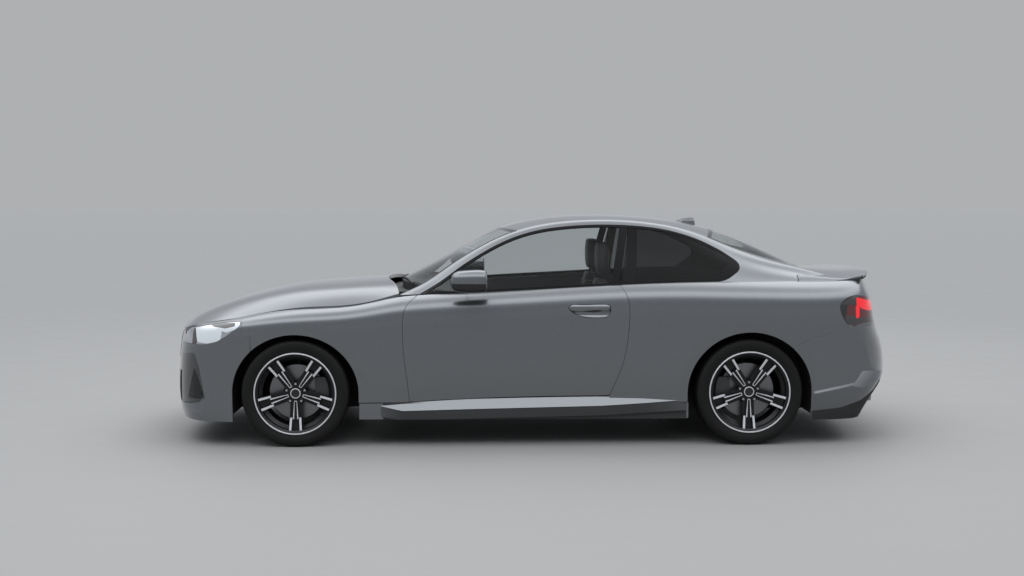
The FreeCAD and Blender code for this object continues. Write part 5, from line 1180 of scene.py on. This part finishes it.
# Columns: x, z, distance from the seat's middle, half width
BACK_BOLSTER = [(345, 520, 182, 46), (372, 640, 184, 46), (400, 800, 170, 46), (425, 920, 138, 44)]
# Columns: z, half width, half depth
HEAD_REST = [(1028, 104, 34), (1060, 122, 40), (1140, 124, 42), (1200, 112, 36)]
SEAT_Y = 380.0
BENCH_Y = 300.0
# Columns: x, z
BENCH_BACK = [(985, 500), (1030, 600), (1072, 720), (1112, 840), (1124, 868)]


def seat_parts(side):
    y = side * SEAT_Y
    cushion = pad([((x, y, z), (0, 150, 0), (0, 0, h)) for x, z, h in SEAT_CUSHION])
    base = pad([((x, y, 345), (0, 214, 0), (0, 0, 40)) for x in (-96, 100, 330)])
    parts = [cushion, base]
    for s in (-1, 1):
        parts.append(pad([((x, y + s * 190, z), (0, 40, 0), (0, 0, h))
                          for x, z, h in SEAT_BOLSTER], 3.2))
        parts.append(pad([((x, y + s * w, z), (0, b, 0), (40, 0, -8))
                          for x, z, w, b in BACK_BOLSTER], 3.2))
    spine = []
    for k in range(14):
        t = k / 13.0
        z = 480 + 490 * t
        x = 352 + 86 * t
        seam = 5.0 if k % 3 == 1 else 0.0
        width = 148 - 40 * t * t
        spine.append(((x, y, z), (0, width, 0), (50 - 8 * t - seam, 0, -10)))
    parts.append(pad(spine, 4.0))
    parts.append(pad([((446, y, z), (0, w, 0), (h, 0, 0)) for z, w, h in HEAD_REST], 3.4))
    for s in (-1, 1):
        parts.append(pad([((448, y + s * 52, z), (0, 6, 0), (6, 0, 0)) for z in (960, 1030)], 2.0))
    return parts


def bench_parts():
    parts = []
    for y in (-BENCH_Y, BENCH_Y):
        parts.append(pad([((x, y, z), (0, 262, 0), (0, 0, h)) for x, z, h in BENCH_CUSHION]))
        parts.append(pad([((x, y, z), (0, 258, 0), (44, 0, -12)) for x, z in BENCH_BACK]))
    return parts


def soft_seats():
    for name, parts, node in (("front_seat_pads", seat_parts(-1) + seat_parts(1), "front_seats"),
                              ("rear_bench_pads", bench_parts(), "rear_bench")):
        seat = place(name, joined(parts), "leather", replaces=[node])


# Wheels.  Radius and distance outwards are from the wheel's middle

def turned(profile, steps=120):
    """Rings about the axle, crisp at each point of the profile (radius, distance outwards)."""
    angle = np.linspace(0, 2 * math.pi, steps, endpoint=False)
    circle = columns(np.cos(angle), np.sin(angle))
    parts = []
    for (r0, d0), (r1, d1) in zip(profile, profile[1:]):
        size = math.hypot(r1 - r0, d1 - d0)
        out_r, out_d = (d0 - d1) / size, (r1 - r0) / size
        rings = [np.column_stack([circle * r, np.full(steps, d)]) for r, d in ((r0, d0), (r1, d1))]
        normals = np.column_stack([circle * out_r, np.full(steps, out_d)])
        here = np.arange(steps)
        ahead = (here + 1) % steps
        tris = np.concatenate([columns(here, ahead + steps, ahead),
                               columns(here, here + steps, ahead + steps)])
        parts.append((np.concatenate(rings), tris, np.concatenate([normals, normals])))
    return joined(parts)


def face_strip(rows, rise=0.7, drop=4.0, cut=0.8):
    """Machined face on a spoke.  Rows: radius and the two sides' distances from the middle line."""
    sections = []
    for r, a0, a1 in rows:
        d = lerp(SPOKE_TOP, r) + rise
        sections.append([(a0, -r, d - drop), (a0, -r, d - cut), (a0 + cut, -r, d),
                         (a1 - cut, -r, d), (a1, -r, d - cut), (a1, -r, d - drop)])
    return faceted(sections)


def spun(part, degrees):
    points, tris, normals = part
    t = math.radians(degrees)
    turn = np.array([[math.cos(t), math.sin(t), 0], [-math.sin(t), math.cos(t), 0], [0, 0, 1]])
    return points @ turn, tris, normals @ turn


def on_wheel(part, x, side):
    """From the wheel's own frame (across, up, outwards) to the car's."""
    def moved(p):
        return columns(p[:, 0], side * p[:, 2], p[:, 1])
    points, tris, normals = part
    points = moved(points) + np.array([x, side * TYRE_Y, WHEEL_R])
    if side > 0:
        tris = tris[:, ::-1]
    return points, tris, moved(normals)


def bright_faces():
    strips = [face_strip([(r, *sorted((s * a, s * b))) for r, a, b in line])
              for s in (-1, 1) for line in (OUTER_BAR, INNER_LINE)]
    strips.append(face_strip(HUB_STRIP))
    return joined([turned(RIM_RING)] + [spun(strip, 72 * k) for k in range(5) for strip in strips])


def nut():
    angles = [math.radians(a) for a in range(0, 360, 60)]
    return faceted([[(size * math.cos(a), size * math.sin(a) - NUT_R, d) for a in angles]
                    for size, d in NUT])


def tyre_profile():
    """From the inner bead round the tread to the outer bead."""
    deep = WHEEL_R - GROOVE_DEEP
    tread = []
    for d, half in GROOVES:
        tread += [(WHEEL_R, d - half), (deep, d - half + 0.6), (deep, d + half - 0.6),
                  (WHEEL_R, d + half)]
    return [(r, -d) for r, d in SIDEWALL] + tread + SIDEWALL[::-1]


def wheels():
    tyre = turned(tyre_profile()[::-1], 160)
    parts = (("faces", bright_faces(), "alloy_bright"),
             ("nuts", joined([spun(nut(), 36 + 72 * k) for k in range(5)]), "steel"),
             ("cap", turned(CAP_FACE, 48), "gloss_black"),
             ("cap_ring", turned(CAP_RING, 48), "alloy_bright"),
             ("disc", turned(DISC_FACE), "disc"))
    for corner, x, side in (("fl", FRONT_X, -1), ("fr", FRONT_X, 1), ("rl", REAR_X, -1),
                            ("rr", REAR_X, 1)):
        body = "wheel_%s_body" % corner
        for name, part, finish in parts:
            place("wheel_%s_%s" % (corner, name), on_wheel(part, x, side), finish,
                  body)
        place("tyre_%s_skin" % corner, on_wheel(tyre, x, side), "rubber", body,
              ["tyre_" + corner])


# Words in the names of the CAD pieces that show as they are, and their finishes
FRAME_LOOKS = {
    "tyre": "rubber", "wheel": "alloy_black", "knuckle": "cast", "axle": "chassis",
    "liners": "under", "struts": "chassis", "floor_pan": "under", "cowl": "trim", "shelf": "trim",
    "dashboard": "trim", "steering_wheel": "leather", "seats": "leather", "bench": "leather",
    "engine": "cast", "mirror": "grey_paint", "wipers": "trim", "aerial": "grey_paint",
    "exhaust": "steel", "grille": "gloss_black", "glass": "glass", "quarter_glasses": "dark_glass",
    "window": "glass", "windscreen": "glass", "lamps": "lens", "bumper": "grey_paint",
    "fender": "trim", "frame": "trim", "door": "trim", "roof_panel": "trim", "hood": "grey_paint",
    "lid": "grey_paint",
}


def dress_frame():
    """Gives each CAD piece the finish of the longest word that is in its name."""
    order = sorted(FRAME_LOOKS, key=len, reverse=True)
    for name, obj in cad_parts.items():
        key = next(word for word in order if word in name)
        obj.data.materials.clear()
        obj.data.materials.append(looks[FRAME_LOOKS[key]])


# Stage

# Height of the direction and colour of the sky there
SKY = [(0.0, (0.46, 0.47, 0.49)), (0.06, (0.50, 0.52, 0.55)), (0.16, (0.40, 0.42, 0.445)),
       (0.32, (0.40, 0.42, 0.445)), (0.46, (0.60, 0.62, 0.65)), (0.64, (1.9, 1.96, 2.03)),
       (0.84, (2.2, 2.25, 2.32)), (1.0, (1.1, 1.12, 1.15))]
BACKDROP = (0.425, 0.436, 0.447)
# Metres, and degrees down from the horizon and to the right
CAMERA_AT = (-0.356, -8.712, 1.443)
CAMERA_DOWN = 3.561
CAMERA_RIGHT = 1.574
LENS = 46.0
FLOOR_HALF = 400.0


def make_floor():
    mesh = bpy.data.meshes.new("floor")
    corners = [(a * FLOOR_HALF, b * FLOOR_HALF, 0) for a, b in ((-1, -1), (1, -1), (1, 1), (-1, 1))]
    mesh.from_pydata(corners, [], [(0, 1, 2, 3)])
    mesh.materials.append(look("floor", (0.23, 0.23, 0.229), 0.6, (3.0, 0.55, 0.7)))
    linked("floor", mesh)


def make_world():
    world = bpy.data.worlds.new("studio")
    bpy.context.scene.world = world
    world.use_nodes = True
    nodes = world.node_tree.nodes
    links = world.node_tree.links
    back = nodes["Background"]
    where = nodes.new("ShaderNodeTexCoord")
    split = nodes.new("ShaderNodeSeparateXYZ")
    ramp = nodes.new("ShaderNodeValToRGB")
    links.new(where.outputs["Generated"], split.inputs["Vector"])
    links.new(split.outputs["Z"], ramp.inputs["Fac"])
    stops = ramp.color_ramp.elements
    for position, _ in SKY[1:-1]:
        stops.new(position)
    for stop, (_, color) in zip(stops, SKY):
        stop.color = (*color, 1)
    path = nodes.new("ShaderNodeLightPath")
    seen = nodes.new("ShaderNodeMath")
    seen.operation = "MAXIMUM"
    mix = nodes.new("ShaderNodeMix")
    mix.data_type = "RGBA"
    links.new(path.outputs["Is Camera Ray"], seen.inputs[0])
    links.new(path.outputs["Is Transmission Ray"], seen.inputs[1])
    links.new(seen.outputs["Value"], mix.inputs["Factor"])
    links.new(ramp.outputs["Color"], mix.inputs[6])
    mix.inputs[7].default_value = (*BACKDROP, 1)
    links.new(mix.outputs[2], back.inputs["Color"])
    back.inputs["Strength"].default_value = 1.0


def make_lights():
    for name, location, aim, size, power in (
            ("key", (-2.0, -5.0, 6.5), (0, 0, 0.4), (5.0, 3.0), 120),
            ("back", (1.0, 6.0, 5.0), (0, 0, 0.8), (6.0, 3.0), 60),
            ("top", (0.5, 0.0, 7.0), (0, 0, 0), (5.0, 3.0), 160)):
        data = bpy.data.lights.new(name, "AREA")
        data.shape = "RECTANGLE"
        data.size, data.size_y = size
        data.energy = power
        lamp = linked(name, data)
        lamp.location = location
        lamp.rotation_euler = (Vector(aim) - Vector(location)).to_track_quat("-Z", "Y").to_euler()
        lamp.visible_glossy = False


def make_camera():
    data = bpy.data.cameras.new("camera")
    data.lens = LENS
    data.sensor_width = 36.0
    camera = linked("camera", data)
    camera.location = CAMERA_AT
    camera.rotation_euler = (math.radians(90 - CAMERA_DOWN), 0.0, math.radians(-CAMERA_RIGHT))
    bpy.context.scene.camera = camera


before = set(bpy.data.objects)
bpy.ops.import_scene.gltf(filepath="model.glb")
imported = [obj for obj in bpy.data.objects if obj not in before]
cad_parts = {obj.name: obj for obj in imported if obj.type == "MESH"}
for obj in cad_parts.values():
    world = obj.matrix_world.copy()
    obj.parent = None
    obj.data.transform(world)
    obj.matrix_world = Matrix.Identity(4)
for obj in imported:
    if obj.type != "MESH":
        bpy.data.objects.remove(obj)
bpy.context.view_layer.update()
bpy.context.scene.view_settings.view_transform = "Standard"
for step in (make_looks, dress_frame, side_skins, top_skins, boot_lid_skin, front_bumper,
             rear_bumper, glass_skins, window_trim, headlamps, tail_lamps, skirts, door_handles,
             mirrors, deck_sides, bumper_facets, soft_seats, wheels, make_floor, make_world,
             make_lights, make_camera):
    step()
